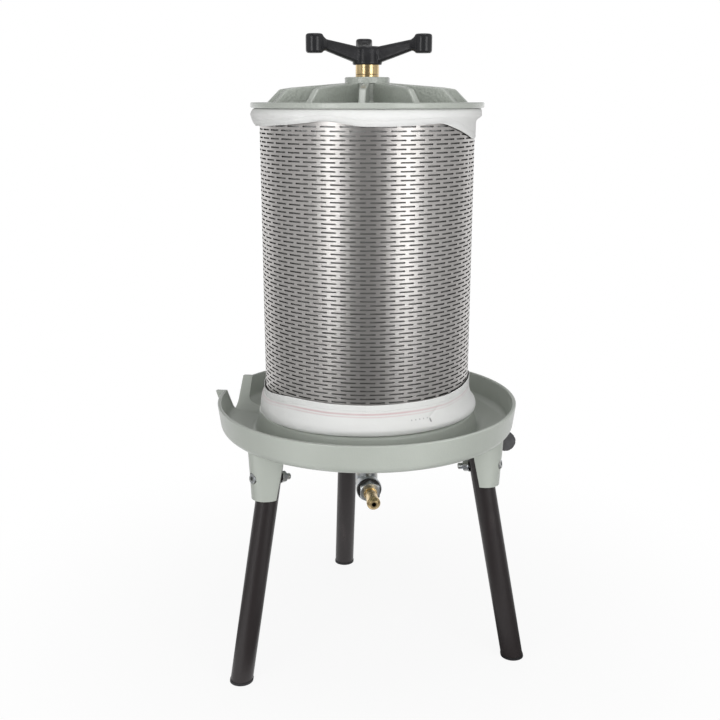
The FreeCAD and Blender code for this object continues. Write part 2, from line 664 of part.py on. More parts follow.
def star_handle():
    """Moulded hand star: hub over the nut's spigot and three arms."""
    roof = SHOULDER_Z + HUB_STAR_H
    hub = turned([(0, SHOULDER_Z, 0), (HUB_STAR_R, SHOULDER_Z, EDGE),
                  (HUB_STAR_R - EDGE, roof, EDGE_SOFT), (0, roof, 0)])
    arms = [spun(handle_arm(), HANDLE_TURN + 360 / ARM_COUNT * k) for k in range(ARM_COUNT)]
    pocket = rod(SPIGOT_R, SHOULDER_Z, roof - HUB_STAR_ROOF)
    return hub.fuse(arms).cut(pocket).removeSplitter()


def lock_washer():
    return ring(LOCK_WASHER_R, STUB_R + HOLE_FIT, BOSS_Z - LOCK_WASHER_T, BOSS_Z)


def lock_nut():
    high = BOSS_Z - LOCK_WASHER_T
    return hexagon(LOCK_ACROSS, high - LOCK_H, high, STUB_R)


def fitting_arm(length, outer, bead):
    """One arm of a malleable fitting along +Z from the centre, beaded at its mouth."""
    return turned([(0, 0, 0), (outer, 0, 0), (outer, length - BEAD_W - PAST, 0),
                   (bead, length - BEAD_W, EDGE_FINE), (bead, length, EDGE_FINE), (0, length, 0)])


def air_tee():
    """Tee under the bowl: the stub above, the elbow below, the vent arm to the side."""
    lift = fitting_arm(TEE_HALF, FITTING_R, BEAD_R)
    drop = lift.copy()
    drop.rotate(V(0, 0, 0), V(1, 0, 0), 180)
    for arm in (lift, drop):
        arm.translate(V(0, 0, TEE_Z))
    outer = VENT_PIPE_R + VENT_ARM_WALL
    side = laid(fitting_arm(TEE_HALF, outer, outer + BEAD_R - FITTING_R), TEE_Z, VENT_TURN)
    mouth = TEE_Z - TEE_HALF
    cuts = [rod(STUB_R, STUB_BOTTOM, TEE_Z + TEE_HALF + PAST),
            rod(PIPE_BORE, mouth - PAST, STUB_BOTTOM + PAST), rod(NIPPLE_R, mouth, mouth + SCREWED_IN),
            laid(rod(VENT_PIPE_R - VENT_PIPE_WALL, 0, TEE_HALF), TEE_Z, VENT_TURN),
            laid(rod(VENT_PIPE_R, TEE_HALF - SCREWED_IN, TEE_HALF + PAST), TEE_Z, VENT_TURN)]
    return lift.fuse([drop, side]).cut(cuts).removeSplitter()


def hex_nipple():
    """Nipple that joins the tee to the elbow."""
    high = TEE_Z - TEE_HALF
    low = high - NIPPLE_GAP
    reach = SCREWED_IN - PAST
    pipe = ring(NIPPLE_R, PIPE_BORE, low - reach, high + reach)
    return pipe.fuse(hexagon(NIPPLE_ACROSS, low, high, PIPE_BORE)).removeSplitter()


def air_elbow():
    """Elbow that turns the air way from the front up to the tee."""
    mouth = ELBOW_Z + ELBOW_RISE
    rise = fitting_arm(ELBOW_RISE, FITTING_R, BEAD_R)
    rise.translate(V(0, 0, ELBOW_Z))
    front = laid(fitting_arm(ELBOW_REACH, FITTING_R, BEAD_R), ELBOW_Z, INLET_TURN)
    knee = Part.makeSphere(FITTING_R, V(0, 0, ELBOW_Z))
    cuts = [rod(PIPE_BORE, ELBOW_Z, mouth + PAST), rod(NIPPLE_R, mouth - SCREWED_IN + PAST, mouth + PAST),
            laid(rod(PIPE_BORE, 0, ELBOW_REACH + PAST), ELBOW_Z, INLET_TURN),
            laid(rod(NIPPLE_R, ELBOW_REACH - SCREWED_IN, ELBOW_REACH + PAST), ELBOW_Z, INLET_TURN)]
    return rise.fuse([front, knee]).cut(cuts).removeSplitter()


def inlet_seal():
    return laid(ring(SEAL_R, NIPPLE_R, ELBOW_REACH, ELBOW_REACH + SEAL_T), ELBOW_Z, INLET_TURN)


def inlet_bush():
    """Hexagonal reducing bush screwed into the elbow over the seal."""
    low = ELBOW_REACH + SEAL_T
    head = hexagon(BUSH_ACROSS, low, low + BUSH_H, BUSH_BORE)
    thread = ring(NIPPLE_R, BUSH_BORE, ELBOW_REACH - SCREWED_IN, low)
    return laid(head.fuse(thread).removeSplitter(), ELBOW_Z, INLET_TURN)


def hose_tail():
    """Brass hose tail: collar, neck and a rounded end bead, bored through."""
    seat = ELBOW_REACH + SEAL_T + BUSH_H
    neck = seat + TAIL_COLLAR_L
    bead = neck + TAIL_NECK_L
    end = bead + TAIL_BEAD_L
    root = [(TAIL_BORE, seat - TAIL_SCREW, 0), (BUSH_BORE, seat - TAIL_SCREW, EDGE_FINE), (BUSH_BORE, seat, 0)]
    body = [(TAIL_COLLAR_R, seat, EDGE_FINE), (TAIL_COLLAR_R, neck, EDGE_FINE), (TAIL_NECK_R, neck, 0),
            (TAIL_NECK_R, bead, 0), (TAIL_BEAD_R, bead + EDGE, EDGE_FINE),
            (TAIL_BEAD_R, end - TAIL_BEAD_L / 3, EDGE), (TAIL_MOUTH_R, end, EDGE_FINE), (TAIL_BORE, end, 0)]
    return laid(turned(root + body), ELBOW_Z, INLET_TURN)


def vent_pipe():
    """Level pipe from the tee to the vent valve."""
    low = TEE_HALF - SCREWED_IN
    high = VENT_REACH - VENT_BODY_HALF + VENT_GRIP
    return laid(ring(VENT_PIPE_R, VENT_PIPE_R - VENT_PIPE_WALL, low, high), TEE_Z, VENT_TURN)


def valve_place(shape):
    """Copy moved from the stem's own frame, +Z to the front, to the valve on the vent arm."""
    copy = shape.copy()
    copy.rotate(V(0, 0, 0), V(1, 0, 0), 90)
    copy.translate(V(VENT_REACH, 0, TEE_Z))
    return spun(copy, VENT_TURN)


def vent_valve_body():
    """Brass body of the vent valve, with a neck for the stem."""
    low = VENT_REACH - VENT_BODY_HALF
    high = VENT_REACH + VENT_BODY_HALF
    body = turned([(0, low, 0), (VENT_BODY_R, low, EDGE_FINE), (VENT_BODY_R, high, EDGE_FINE), (0, high, 0)])
    neck = valve_place(rod(VENT_STEM_R + VENT_NECK_WALL, 0, VENT_KNOB_OFF - VENT_KNOB_GAP))
    cuts = [laid(rod(VENT_PIPE_R, low - PAST, low + VENT_GRIP), TEE_Z, VENT_TURN),
            laid(rod(VENT_BORE, low - PAST, high + PAST), TEE_Z, VENT_TURN),
            valve_place(rod(VENT_STEM_R + SCREW_FIT, -VENT_STEM_R - PAST, VENT_KNOB_OFF))]
    return laid(body, TEE_Z, VENT_TURN).fuse(neck).cut(cuts).removeSplitter()


def vent_stem():
    """Stem of the cock: its lower end is cross-bored and opens or shuts the way through."""
    port = laid(rod(VENT_PORT_R, -VENT_BODY_R, VENT_BODY_R), 0, 0)
    return valve_place(rod(VENT_STEM_R, -VENT_STEM_R, VENT_KNOB_OFF + VENT_STEM_IN).cut(port))


def vent_knob():
    """Round knob on the stem, with shallow finger grooves round its rim."""
    low = VENT_KNOB_OFF
    high = low + VENT_KNOB_T
    pocket = low + VENT_STEM_IN
    knob = turned([(VENT_STEM_R, low, 0), (VENT_KNOB_R - EDGE_SOFT, low, EDGE_FINE),
                   (VENT_KNOB_R, low + EDGE_SOFT, EDGE_FINE), (VENT_KNOB_R, high, EDGE), (0, high, 0),
                   (0, pocket, 0), (VENT_STEM_R, pocket, 0)])
    groove = Part.makeCylinder(GRIP_R, VENT_KNOB_T + 2 * PAST, V(VENT_KNOB_R + 0.65 * GRIP_R, 0, low - PAST))
    return valve_place(knob.cut([spun(groove, 360 / GRIP_COUNT * k) for k in range(GRIP_COUNT)]))


def build():
    nodes = {"juice_bowl": juice_bowl()}
    tube = leg_tube()
    cap = foot_cap()
    for index, name in enumerate(LEG_NAMES):
        nodes["leg_" + name] = spun(tube, leg_azimuth(index))
        nodes["foot_cap_" + name] = spun(cap, leg_azimuth(index))
    nodes["leg_bolts"] = around_legs(leg_bolt())
    nodes["leg_washers"] = around_legs(leg_washer())
    nodes["leg_nuts"] = around_legs(leg_nut())
    nodes["spindle"] = spindle()
    nodes["spindle_lock_washer"] = lock_washer()
    nodes["spindle_lock_nut"] = lock_nut()
    nodes["bladder"] = bladder()
    nodes["bladder_band_lower"] = hose_band(HUB_R + BLADDER_WALL, BLADDER_LOW + BAND_OFF)
    nodes["bladder_band_upper"] = hose_band(COLLAR_R + BLADDER_WALL, BLADDER_HIGH - BAND_OFF - BAND_W)
    nodes["air_tee"] = air_tee()
    nodes["hex_nipple"] = hex_nipple()
    nodes["air_elbow"] = air_elbow()
    nodes["inlet_seal"] = inlet_seal()
    nodes["inlet_bush"] = inlet_bush()
    nodes["hose_tail"] = hose_tail()
    nodes["vent_pipe"] = vent_pipe()
    nodes["vent_valve_body"] = vent_valve_body()
    nodes["vent_stem"] = vent_stem()
    nodes["vent_knob"] = vent_knob()
    nodes["basket"] = basket()
    nodes["basket_foot_ring"] = stiffening_ring(BASKET_LOW + RING_INSET)
    nodes["basket_rim_ring"] = stiffening_ring(BASKET_HIGH - RING_INSET - RING_H)
    nodes["press_bag"] = press_bag()
    nodes["lid"] = lid()
    nodes["lid_gasket"] = lid_gasket()
    nodes["thrust_washer"] = thrust_washer()
    nodes["clamp_nut"] = clamp_nut()
    nodes["star_handle"] = star_handle()
    return nodes


def outline_middle(nodes):
    """Middle of the whole outline seen from above."""
    box = Part.makeCompound(list(nodes.values())).optimalBoundingBox(False, False)
    return V((box.XMin + box.XMax) / 2, (box.YMin + box.YMax) / 2, 0)


def main():
    nodes = build()
    middle = outline_middle(nodes)
    print("spindle axis at", round(-middle.x, 3), round(-middle.y, 3))
    os.makedirs("parts", exist_ok=True)
    for name, shape in nodes.items():
        shape.translate(-middle)
        shape.exportStep(os.path.join("parts", name + ".step"))


main()
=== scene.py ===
import json
import math

import bpy
import numpy as np
from mathutils import Euler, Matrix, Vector


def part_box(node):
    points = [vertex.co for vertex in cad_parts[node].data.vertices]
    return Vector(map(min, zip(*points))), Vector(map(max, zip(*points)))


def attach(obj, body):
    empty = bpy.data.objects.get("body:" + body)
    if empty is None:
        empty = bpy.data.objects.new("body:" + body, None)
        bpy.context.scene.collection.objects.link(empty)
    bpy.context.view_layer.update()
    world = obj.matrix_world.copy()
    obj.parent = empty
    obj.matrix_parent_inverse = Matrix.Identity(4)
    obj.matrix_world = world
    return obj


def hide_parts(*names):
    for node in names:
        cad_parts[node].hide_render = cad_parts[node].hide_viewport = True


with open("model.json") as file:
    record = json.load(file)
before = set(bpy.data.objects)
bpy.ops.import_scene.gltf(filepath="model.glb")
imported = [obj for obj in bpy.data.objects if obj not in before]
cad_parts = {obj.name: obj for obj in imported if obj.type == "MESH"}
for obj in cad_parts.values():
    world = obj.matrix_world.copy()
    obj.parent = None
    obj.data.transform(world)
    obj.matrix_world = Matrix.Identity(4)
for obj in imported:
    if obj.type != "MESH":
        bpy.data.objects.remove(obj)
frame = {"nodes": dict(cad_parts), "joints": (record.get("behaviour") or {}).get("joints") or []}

bl_info = {
    "name": "Fruit press looks",
    "version": (1, 0, 0),
    "blender": (4, 5, 0),
    "location": "3D View > Sidebar > Press",
    "description": "Slotted basket, press cloth, bladder, finishes and studio for a bladder fruit press",
    "category": "Object",
}

# The spindle stands at one side of the frame's origin, and every turned piece is drawn round it.
SPINDLE = next(joint for joint in frame["joints"] if joint["name"] == "handle_turn")["pos_m"]
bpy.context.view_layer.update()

BASKET_LOW, BASKET_HIGH = (corner.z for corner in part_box("basket"))
BASKET_RADIUS = (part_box("basket")[1].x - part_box("basket")[0].x) / 2
RING_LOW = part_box("basket_rim_ring")[0].z
RING_RADIUS = (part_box("basket_rim_ring")[1].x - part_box("basket_rim_ring")[0].x) / 2
SPINDLE_LOW, SPINDLE_HIGH = (corner.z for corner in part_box("spindle"))
BLADDER_LOW, BLADDER_HIGH = (corner.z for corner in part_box("bladder"))
BLADDER_RADIUS = (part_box("bladder")[1].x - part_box("bladder")[0].x) / 2
MM = 0.001
BASKET_SHEET = 1.5 * MM

# The photograph's view: a 36 mm sensor behind this lens, in the frame's metres and degrees.
CAMERA_PLACE = (-0.0139, -1.2424, 0.7091)
CAMERA_PITCH = 14.846
CAMERA_YAW = 0.115
CAMERA_LENS = 49.335
CAMERA_SENSOR = 36.0

# Heights in millimetres of the cloth's edge that hangs outside the basket's top, by azimuth in degrees.
UPPER_HEM = ((-180, 677.0), (-147, 678.5), (-121, 683.0), (-113, 685.6), (-106, 684.6), (-94, 679.6),
             (-78, 679.6), (-52, 682.6), (-20, 662.6), (0, 666.0), (45, 676.0), (110, 680.5))

# Along the press cloth: distances from its lower outer edge, or from either edge, in metres. Round it: shares
# of its girth from the seam at the left.
STRIPE_LINES = ((0.0113, 0.0010, 1.0), (0.0147, 0.0007, 0.6))
HEM_WIDTH = 0.0075
DARNING_ALONG, DARNING_ROUND = 0.0220, 0.325
TUFT_ALONG, TUFT_ROUND = 0.0255, 0.3435
CLEAR_STRIPE_ROUND = 0.24
# Where the painted shade on the cloth's lining begins, measured from the lower edge, and where it ends,
# measured from the upper edge.
PAINTED_SHADE_FROM_LOW, PAINTED_SHADE_FROM_HIGH = 0.060, 0.055
THREAD_PITCH, STITCH_PITCH, KNOT_PITCH = 0.0011, 0.0032, 0.0052

# Soft boxes. At the sides: name, azimuth in degrees, width in metres and power in watts, all at one
# distance and height. The others: name, place, width and height, power, and whether gloss shows them.
SIDE_BOXES = (("left_box", -126, 0.50, 4.3), ("right_box", -51, 0.8, 5.6))
SIDE_REACH, SIDE_HEIGHT, SIDE_TALL = 1.75, 0.56, 0.94
FILL_BOXES = (("front_box", (0, -2.3, 0.8), (2.4, 1.0), 11.5, False),
              ("back_box", (0.3, 2.2, 0.6), (1.8, 0.9), 9.0, False),
              ("top_box", (0.1, -0.3, 1.9), (0.8, 0.6), 3.3, True))
FLOOR_RADIUS, FLOOR_DROP, FLOOR_CORNERS = 1.25, 0.0002, 96

LEGS = ("leg_back", "leg_left", "leg_right")
FOOT_CAPS = ("foot_cap_back", "foot_cap_left", "foot_cap_right")
ZINC_PIECES = ("leg_bolts", "leg_washers", "leg_nuts", "spindle_lock_washer", "spindle_lock_nut", "air_tee",
               "hex_nipple", "air_elbow", "inlet_bush", "vent_pipe")
BRASS_PIECES = ("hose_tail", "vent_valve_body", "vent_stem", "thrust_washer", "clamp_nut")
SEALS = ("inlet_seal", "lid_gasket")
BANDS = ("bladder_band_lower", "bladder_band_upper")
BASKET_RINGS = ("basket_foot_ring", "basket_rim_ring")


class PressColours(bpy.types.PropertyGroup):
    """Colours of the press's finishes."""

    enamel: bpy.props.FloatVectorProperty(
        name="Enamel", description="Light grey-green enamel on the castings", subtype="COLOR", size=3,
        min=0, max=1, default=(0.46, 0.49, 0.445))
    leg_coat: bpy.props.FloatVectorProperty(
        name="Leg coat", description="Satin coat of the leg tubes", subtype="COLOR", size=3,
        min=0, max=1, default=(0.022, 0.0175, 0.018))
    knob: bpy.props.FloatVectorProperty(
        name="Knob", description="Dusty black moulding of the vent knob", subtype="COLOR", size=3, min=0,
        max=1, default=(0.075, 0.075, 0.078))
    zinc: bpy.props.FloatVectorProperty(
        name="Zinc", description="Bright zinc plate on bolts and pipe fittings", subtype="COLOR", size=3,
        min=0, max=1, default=(0.50, 0.53, 0.56))
    steel: bpy.props.FloatVectorProperty(
        name="Steel", description="Rolled stainless sheet of the basket", subtype="COLOR", size=3,
        min=0, max=1, default=(0.68, 0.658, 0.64))
    brass: bpy.props.FloatVectorProperty(
        name="Brass", description="Turned brass", subtype="COLOR", size=3, min=0, max=1,
        default=(0.88, 0.67, 0.36))
    plastic: bpy.props.FloatVectorProperty(
        name="Plastic", description="Black moulding of the hand star and the foot caps", subtype="COLOR",
        size=3, min=0, max=1, default=(0.018, 0.018, 0.020))
    rubber: bpy.props.FloatVectorProperty(
        name="Rubber", description="Bladder and seals", subtype="COLOR", size=3, min=0, max=1,
        default=(0.024, 0.022, 0.021))
    cloth: bpy.props.FloatVectorProperty(
        name="Cloth", description="White press cloth", subtype="COLOR", size=3, min=0, max=1,
        default=(0.825, 0.83, 0.82))
    stripe: bpy.props.FloatVectorProperty(
        name="Stripe", description="Faint double stripe woven into the cloth's selvedge", subtype="COLOR",
        size=3, min=0, max=1, default=(0.66, 0.46, 0.48))


class PressSizes(bpy.types.PropertyGroup):
    """Sizes of the details that the frame leaves to the looks."""

    slot_length: bpy.props.FloatProperty(
        name="Slot length", description="Length of a juice slot round the basket", unit="LENGTH",
        min=0.005, max=0.02, default=0.0182)
    slot_height: bpy.props.FloatProperty(
        name="Slot height", description="Height of a juice slot", unit="LENGTH", min=0.0005, max=0.003,
        default=0.0018)
    slot_pitch: bpy.props.FloatProperty(
        name="Row pitch", description="Height from one row of slots to the next", unit="LENGTH",
        min=0.003, max=0.01, default=0.00483)
    slots_around: bpy.props.IntProperty(
        name="Slots around", description="Slots in one row", min=12, max=60, default=36)
    blank_end: bpy.props.FloatProperty(
        name="Blank end", description="Height of plain sheet above and below the slotted part",
        unit="LENGTH", min=0.005, max=0.05, default=0.012)
    cloth_thickness: bpy.props.FloatProperty(
        name="Cloth thickness", description="Thickness of the press cloth", unit="LENGTH", min=0.0003,
        max=0.001, default=0.0007)
    screw_pitch: bpy.props.FloatProperty(
        name="Screw pitch", description="Pitch of the spindle's screw", unit="LENGTH", min=0.001,
        max=0.006, default=0.004)


class Signal:
    """One output of a shader node, which takes part in Python arithmetic."""

    def __init__(self, recipe, socket):
        self.recipe = recipe
        self.socket = socket

    def maths(self, operation, *values):
        return self.recipe.node("Math", {"operation": operation}, dict(enumerate(values)))

    def __add__(self, other):
        return self.maths("ADD", self, other)

    def __radd__(self, other):
        return self.maths("ADD", other, self)

    def __sub__(self, other):
        return self.maths("SUBTRACT", self, other)

    def __rsub__(self, other):
        return self.maths("SUBTRACT", other, self)

    def __mul__(self, other):
        return self.maths("MULTIPLY", self, other)

    def __rmul__(self, other):
        return self.maths("MULTIPLY", other, self)

    def __truediv__(self, other):
        return self.maths("DIVIDE", self, other)

    def __rtruediv__(self, other):
        return self.maths("DIVIDE", other, self)

    def __abs__(self):
        return self.maths("ABSOLUTE", self)

    def sine(self):
        return self.maths("SINE", self)

    def root(self):
        return self.maths("SQRT", self)

    def at_least(self, level):
        return self.maths("MAXIMUM", self, level)

    def above(self, level, softness):
        """0 below a level and 1 above it, with a soft step between."""
        return self.recipe.node("MapRange", {"interpolation_type": "SMOOTHSTEP"},
                                {"Value": self, "From Min": level - softness, "From Max": level + softness})

    def near(self, level, half, softness=0.4):
        """1 within a half width of a level, 0 outside it, with edges soft by a share of the half width."""
        return 1.0 - abs(self - level).above(half, half * softness)


class Recipe:
    """Adds nodes to a shader tree."""

    def __init__(self, tree):
        self.tree = tree

    def node(self, kind, settings, sockets, output=0):
        """Adds a node: its settings first, then the value or link of each socket."""
        node = self.tree.nodes.new("ShaderNode" + kind)
        for name, value in settings.items():
            setattr(node, name, value)
        for key, value in sockets.items():
            if isinstance(value, Signal):
                self.tree.links.new(value.socket, node.inputs[key])
            else:
                node.inputs[key].default_value = value
        return Signal(self, node.outputs[output])

    def place(self, stretch=(1, 1, 1)):
        """Position on the piece, in metres, multiplied by a stretch for each axis."""
        spot = self.node("TexCoord", {}, {}, "Object")
        return self.node("VectorMath", {"operation": "MULTIPLY"}, {0: spot, 1: stretch})

    def noise(self, scale, detail=3.0, stretch=(1, 1, 1)):
        return self.node("TexNoise", {}, {"Vector": self.place(stretch), "Scale": scale, "Detail": detail,
                                          "Roughness": 0.5})

    def cells(self, scale):
        return self.node("TexVoronoi", {"feature": "SMOOTH_F1"},
                         {"Vector": self.place(), "Scale": scale, "Smoothness": 0.4})

    def split(self, vector):
        """The three parts of a vector."""
        parts = self.node("SeparateXYZ", {}, {0: vector})
        return [Signal(self, socket) for socket in parts.socket.node.outputs]

    def mix(self, factor, first, second):
        """Colour between two colours."""
        return self.node("Mix", {"data_type": "RGBA"}, {0: factor, 6: first, 7: second}, 2)


class Finish(Recipe):
    """Node tree of one material, round its Principled shader."""

    def __init__(self, name, constants):
        self.material = bpy.data.materials.new(name)
        self.material.use_nodes = True
        super().__init__(self.material.node_tree)
        self.surface = self.tree.nodes["Principled BSDF"]
        for socket, value in constants.items():
            self.surface.inputs[socket].default_value = value

    def bump(self, height, distance, strength=1.0):
        """Feeds a height, in units of a distance in metres, to the surface's normal."""
        relief = self.node("Bump", {}, {"Height": height, "Distance": distance, "Strength": strength})
        self.feed("Normal", relief)

    def feed(self, socket, signal):
        self.tree.links.new(signal.socket, self.surface.inputs[socket])

    def tinted(self, colour, other, amount, scale):
        """Feeds a base colour that drifts a little towards another over the surface."""
        drift = self.noise(scale, 4.0).above(0.5, 0.28) * amount
        self.feed("Base Color", self.mix(drift, rgba(colour), rgba(other)))


def rgba(colour, gain=1.0):
    return [min(1.0, channel * gain) for channel in colour] + [1.0]


def enamel(name, colour, hammer):
    """Stove enamel on a casting: sand-cast waviness, fine orange peel and, on the lid, a hammered skin."""
    recipe = Finish(name, {"Coat Weight": 0.55 + 0.4 * hammer, "Coat Roughness": 0.16})
    skin = recipe.cells(300.0) * hammer * 1.3 + recipe.noise(900.0, 2.0) * (0.35 - 0.2 * hammer)
    recipe.bump(skin + recipe.noise(60.0, 2.0) * 0.6, 0.0006, 0.6 + 0.4 * hammer)
    recipe.tinted(colour, [channel * 0.90 for channel in colour], 0.8, 14.0)
    recipe.feed("Roughness", 0.34 + recipe.noise(240.0, 4.0) * 0.16)
    return recipe.material


def powder_coat(colour):
    """Satin black coat of the legs, with its fine grain and a few rubbed places."""
    recipe = Finish("leg_coat", {"Specular IOR Level": 0.5})
    rubbed = recipe.noise(38.0, 6.0, (1, 1, 0.25)).above(0.66, 0.08)
    recipe.feed("Base Color", recipe.mix(rubbed * 0.5, rgba(colour), rgba(colour, 2.2)))
    recipe.feed("Roughness", 0.28 - rubbed * 0.08 + recipe.noise(500.0) * 0.10)
    recipe.bump(recipe.noise(1600.0, 2.0), 0.00025, 0.6)
    return recipe.material


def zinc_plate(colour):
    """Bright zinc plate: a clouded bluish skin with faint yellow passivation."""
    recipe = Finish("zinc_plate", {"Metallic": 1.0})
    cloud = recipe.noise(130.0, 5.0)
    recipe.feed("Base Color", recipe.mix(cloud.above(0.55, 0.2) * 0.55, rgba(colour),
                                         rgba((0.66, 0.62, 0.50))))
    recipe.feed("Roughness", 0.22 + cloud * 0.22)
    recipe.bump(recipe.noise(700.0, 3.0) + recipe.noise(90.0, 2.0), 0.0003, 0.5)
    return recipe.material


def rolled_steel(name, colour, roughness):
    """Rolled stainless sheet: long fine streaks of the rolling and a soft mottle."""
    recipe = Finish(name, {"Metallic": 1.0, "Anisotropic": 0.35})
    streak = recipe.noise(60.0, 6.0, (1, 1, 40))
    mottle = recipe.noise(55.0, 3.0)
    recipe.feed("Base Color", recipe.mix(mottle.above(0.5, 0.3) * 0.45, rgba(colour), rgba(colour, 0.82)))
    recipe.feed("Roughness", roughness + streak * 0.10 + mottle * 0.06)
    recipe.bump(streak * 0.5 + mottle * 0.7, 0.00022, 0.5)
    return recipe.material


def turned_metal(name, colour, roughness, tarnish):
    """Lathe-turned metal with fine tool rings and a little tarnish in its hollows."""
    recipe = Finish(name, {"Metallic": 1.0})
    dull = recipe.noise(85.0, 5.0).above(0.56, 0.16)
    recipe.feed("Base Color", recipe.mix(dull * tarnish, rgba(colour), rgba(colour, 0.55)))
    recipe.feed("Roughness", roughness + dull * 0.16 + recipe.noise(900.0) * 0.06)
    recipe.bump(recipe.noise(150.0, 4.0, (1, 1, 12)), 0.00015, 0.6)
    return recipe.material


def moulded_black(name, colour, roughness, grain):
    """Glass-filled moulding or rubber with a fine spark-eroded grain and a dusting of wear."""
    recipe = Finish(name, {"Specular IOR Level": 0.45})
    worn = recipe.noise(45.0, 6.0).above(0.60, 0.12)
    recipe.feed("Base Color", recipe.mix(worn * 0.35, rgba(colour), rgba(colour, 2.6)))
    recipe.feed("Roughness", roughness + worn * 0.10)
    recipe.bump(recipe.noise(1300.0, 3.0) + recipe.noise(120.0, 2.0) * 0.6, grain, 0.7)
    return recipe.material


def woven_cloth(colour, stripe, cloth_edges):
    """Press cloth: plain weave, a faint double stripe by the selvedge, stitched hems, and painted shade on
    the lining inside the basket, where it shows through the slots.

    The map's first direction runs round the bag and its second along it from the lower outer edge,
    both in metres.
    """
    first_edge, last_edge = cloth_edges
    girth = 2 * math.pi * BASKET_RADIUS
    recipe = Finish("press_cloth", {"Sheen Weight": 0.25, "Roughness": 0.88, "Specular IOR Level": 0.2})
    around, along, _ = recipe.split(recipe.node("UVMap", {"uv_map": "flat"}, {}))

    def wave(direction, pitch):
        return (direction * (2 * math.pi / pitch)).sine()

    weave = wave(around, THREAD_PITCH) * wave(along, THREAD_PITCH)
    lines = sum(along.near(first_edge + place, half, 0.9) * depth for place, half, depth in STRIPE_LINES)
    patchy = recipe.noise(30.0, 3.0).above(0.38, 0.2) * 0.2
    worn = 0.18 + patchy + around.near(CLEAR_STRIPE_ROUND * girth, 0.11 * girth) * 0.42
    soiled = recipe.noise(9.0, 5.0).above(0.55, 0.2) * 0.18
    fresh = recipe.mix(soiled, rgba(colour), rgba((0.68, 0.67, 0.63)))
    # Painted shade: the cloth inside the basket is darkened towards grey, to stand for the shade seen through
    # the slots.
    lining = (along.above(first_edge + PAINTED_SHADE_FROM_LOW, 0.006)
              * (1.0 - along.above(last_edge - PAINTED_SHADE_FROM_HIGH, 0.006)))
    ground = recipe.mix(lining * 0.66, fresh, rgba((0.17, 0.165, 0.155)))
    striped = recipe.mix(lines * worn, ground, rgba(stripe))
    darning = (along.near(first_edge + DARNING_ALONG, 0.0009)
               * around.near(DARNING_ROUND * girth, 0.016 * girth, 0.1))
    knots = wave(around, KNOT_PITCH).above(0.55, 0.2) * 0.4
    tuft = (along.near(first_edge + TUFT_ALONG, 0.0024, 0.5)
            * around.near(TUFT_ROUND * girth, 0.0010, 0.6) * 0.8)
    recipe.feed("Base Color", recipe.mix(darning * knots + tuft, striped, rgba((0.16, 0.15, 0.16))))
    hem = along.near(first_edge + HEM_WIDTH, 0.0005) + along.near(last_edge - HEM_WIDTH, 0.0005)
    stitch = hem * wave(around, STITCH_PITCH).above(0.0, 0.5)
    slub = recipe.noise(260.0, 4.0)
    recipe.bump(weave * 0.30 + slub * 0.8 - hem * 1.4 + stitch * 0.9, 0.0004, 0.7)
    return recipe.material


def dress(nodes, material):
    """Gives CAD nodes a finish."""
    for name in nodes:
        for slot in frame["nodes"][name].material_slots:
            slot.material = material


def shade(mesh, angle=35.0):
    """Smooth shading with sharp edges past an angle, in degrees."""
    mesh.polygons.foreach_set("use_smooth", np.ones(len(mesh.polygons), bool))
    mesh.set_sharp_from_angle(angle=math.radians(angle))


def add_piece(name, mesh, material, body):
    """Puts a mesh in the scene as a piece that rides on a body."""
    piece = bpy.data.objects.new(name, mesh)
    bpy.context.scene.collection.objects.link(piece)
    mesh.materials.append(material)
    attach(piece, body)
    return piece


def round_spindle(radius, azimuth, height):
    """Points at a radius and azimuth, in radians, about the spindle."""
    radius, azimuth, height = np.broadcast_arrays(radius, azimuth, height)
    across = SPINDLE[0] + radius * np.cos(azimuth)
    ahead = SPINDLE[1] + radius * np.sin(azimuth)
    return np.stack([across, ahead, height], -1)


def skin_mesh(name, points, flat=None):
    """Mesh over a grid of points: rows along the first direction, closed round the second.

    flat gives the sheet's girth and, for each point, its place along the sheet, both in metres.
    """
    rows, around = points.shape[:2]
    row, column = np.meshgrid(np.arange(rows - 1), np.arange(around), indexing="ij")
    following = (column + 1) % around
    quads = np.stack([row * around + column, row * around + following, (row + 1) * around + following,
                      (row + 1) * around + column], -1).reshape(-1, 4)
    mesh = bpy.data.meshes.new(name)
    mesh.from_pydata(points.reshape(-1, 3).tolist(), [], quads.tolist())
    if flat is not None:
        girth, lengths = flat
        across = np.stack([column, column + 1, column + 1, column], -1) * girth / around
        along = np.stack([lengths[row, column], lengths[row, following], lengths[row + 1, following],
                          lengths[row + 1, column]], -1)
        layer = mesh.uv_layers.new(name="flat")
        layer.data.foreach_set("uv", np.stack([across, along], -1).astype(np.float32).ravel())
    mesh.update()
    return mesh


def cap_ends(mesh, around):
    """Closes the first and last ring of a grid with a face each."""
    count = len(mesh.vertices)
    points = [tuple(vertex.co) for vertex in mesh.vertices]
    faces = [tuple(face.vertices) for face in mesh.polygons]
    faces += [tuple(reversed(range(around))), tuple(range(count - around, count))]
    mesh.clear_geometry()
    mesh.from_pydata(points, [], faces)
    mesh.update()


def smooth_path(anchors, steps):
    """Rows of points on a soft curve through rows of anchors (Catmull-Rom)."""
    anchors = np.asarray(anchors, float)
    padded = np.concatenate([2 * anchors[:1] - anchors[1:2], anchors, 2 * anchors[-1:] - anchors[-2:-1]])
    rows = []
    for before, start, stop, after in zip(padded, padded[1:], padded[2:], padded[3:]):
        for t in np.arange(steps) / steps:
            rows.append(0.5 * (2 * start + (stop - before) * t
                               + (2 * before - 5 * start + 4 * stop - after) * t * t
                               + (3 * start - before - 3 * stop + after) * t ** 3))
    rows.append(anchors[-1])
    return np.array(rows)


def waves(azimuth, seed, lowest, highest):
    """Smooth random waviness round the spindle, about -1 to 1, from waves of a span of counts."""
    dice = np.random.default_rng(seed)
    counts = np.arange(lowest, highest + 1)
    heights = dice.uniform(0.4, 1.0, len(counts))
    turns = dice.uniform(0, 2 * math.pi, len(counts))
    total = sum(h * np.sin(n * azimuth + t) for h, n, t in zip(heights, counts, turns))
    return total / heights.sum() * 1.8


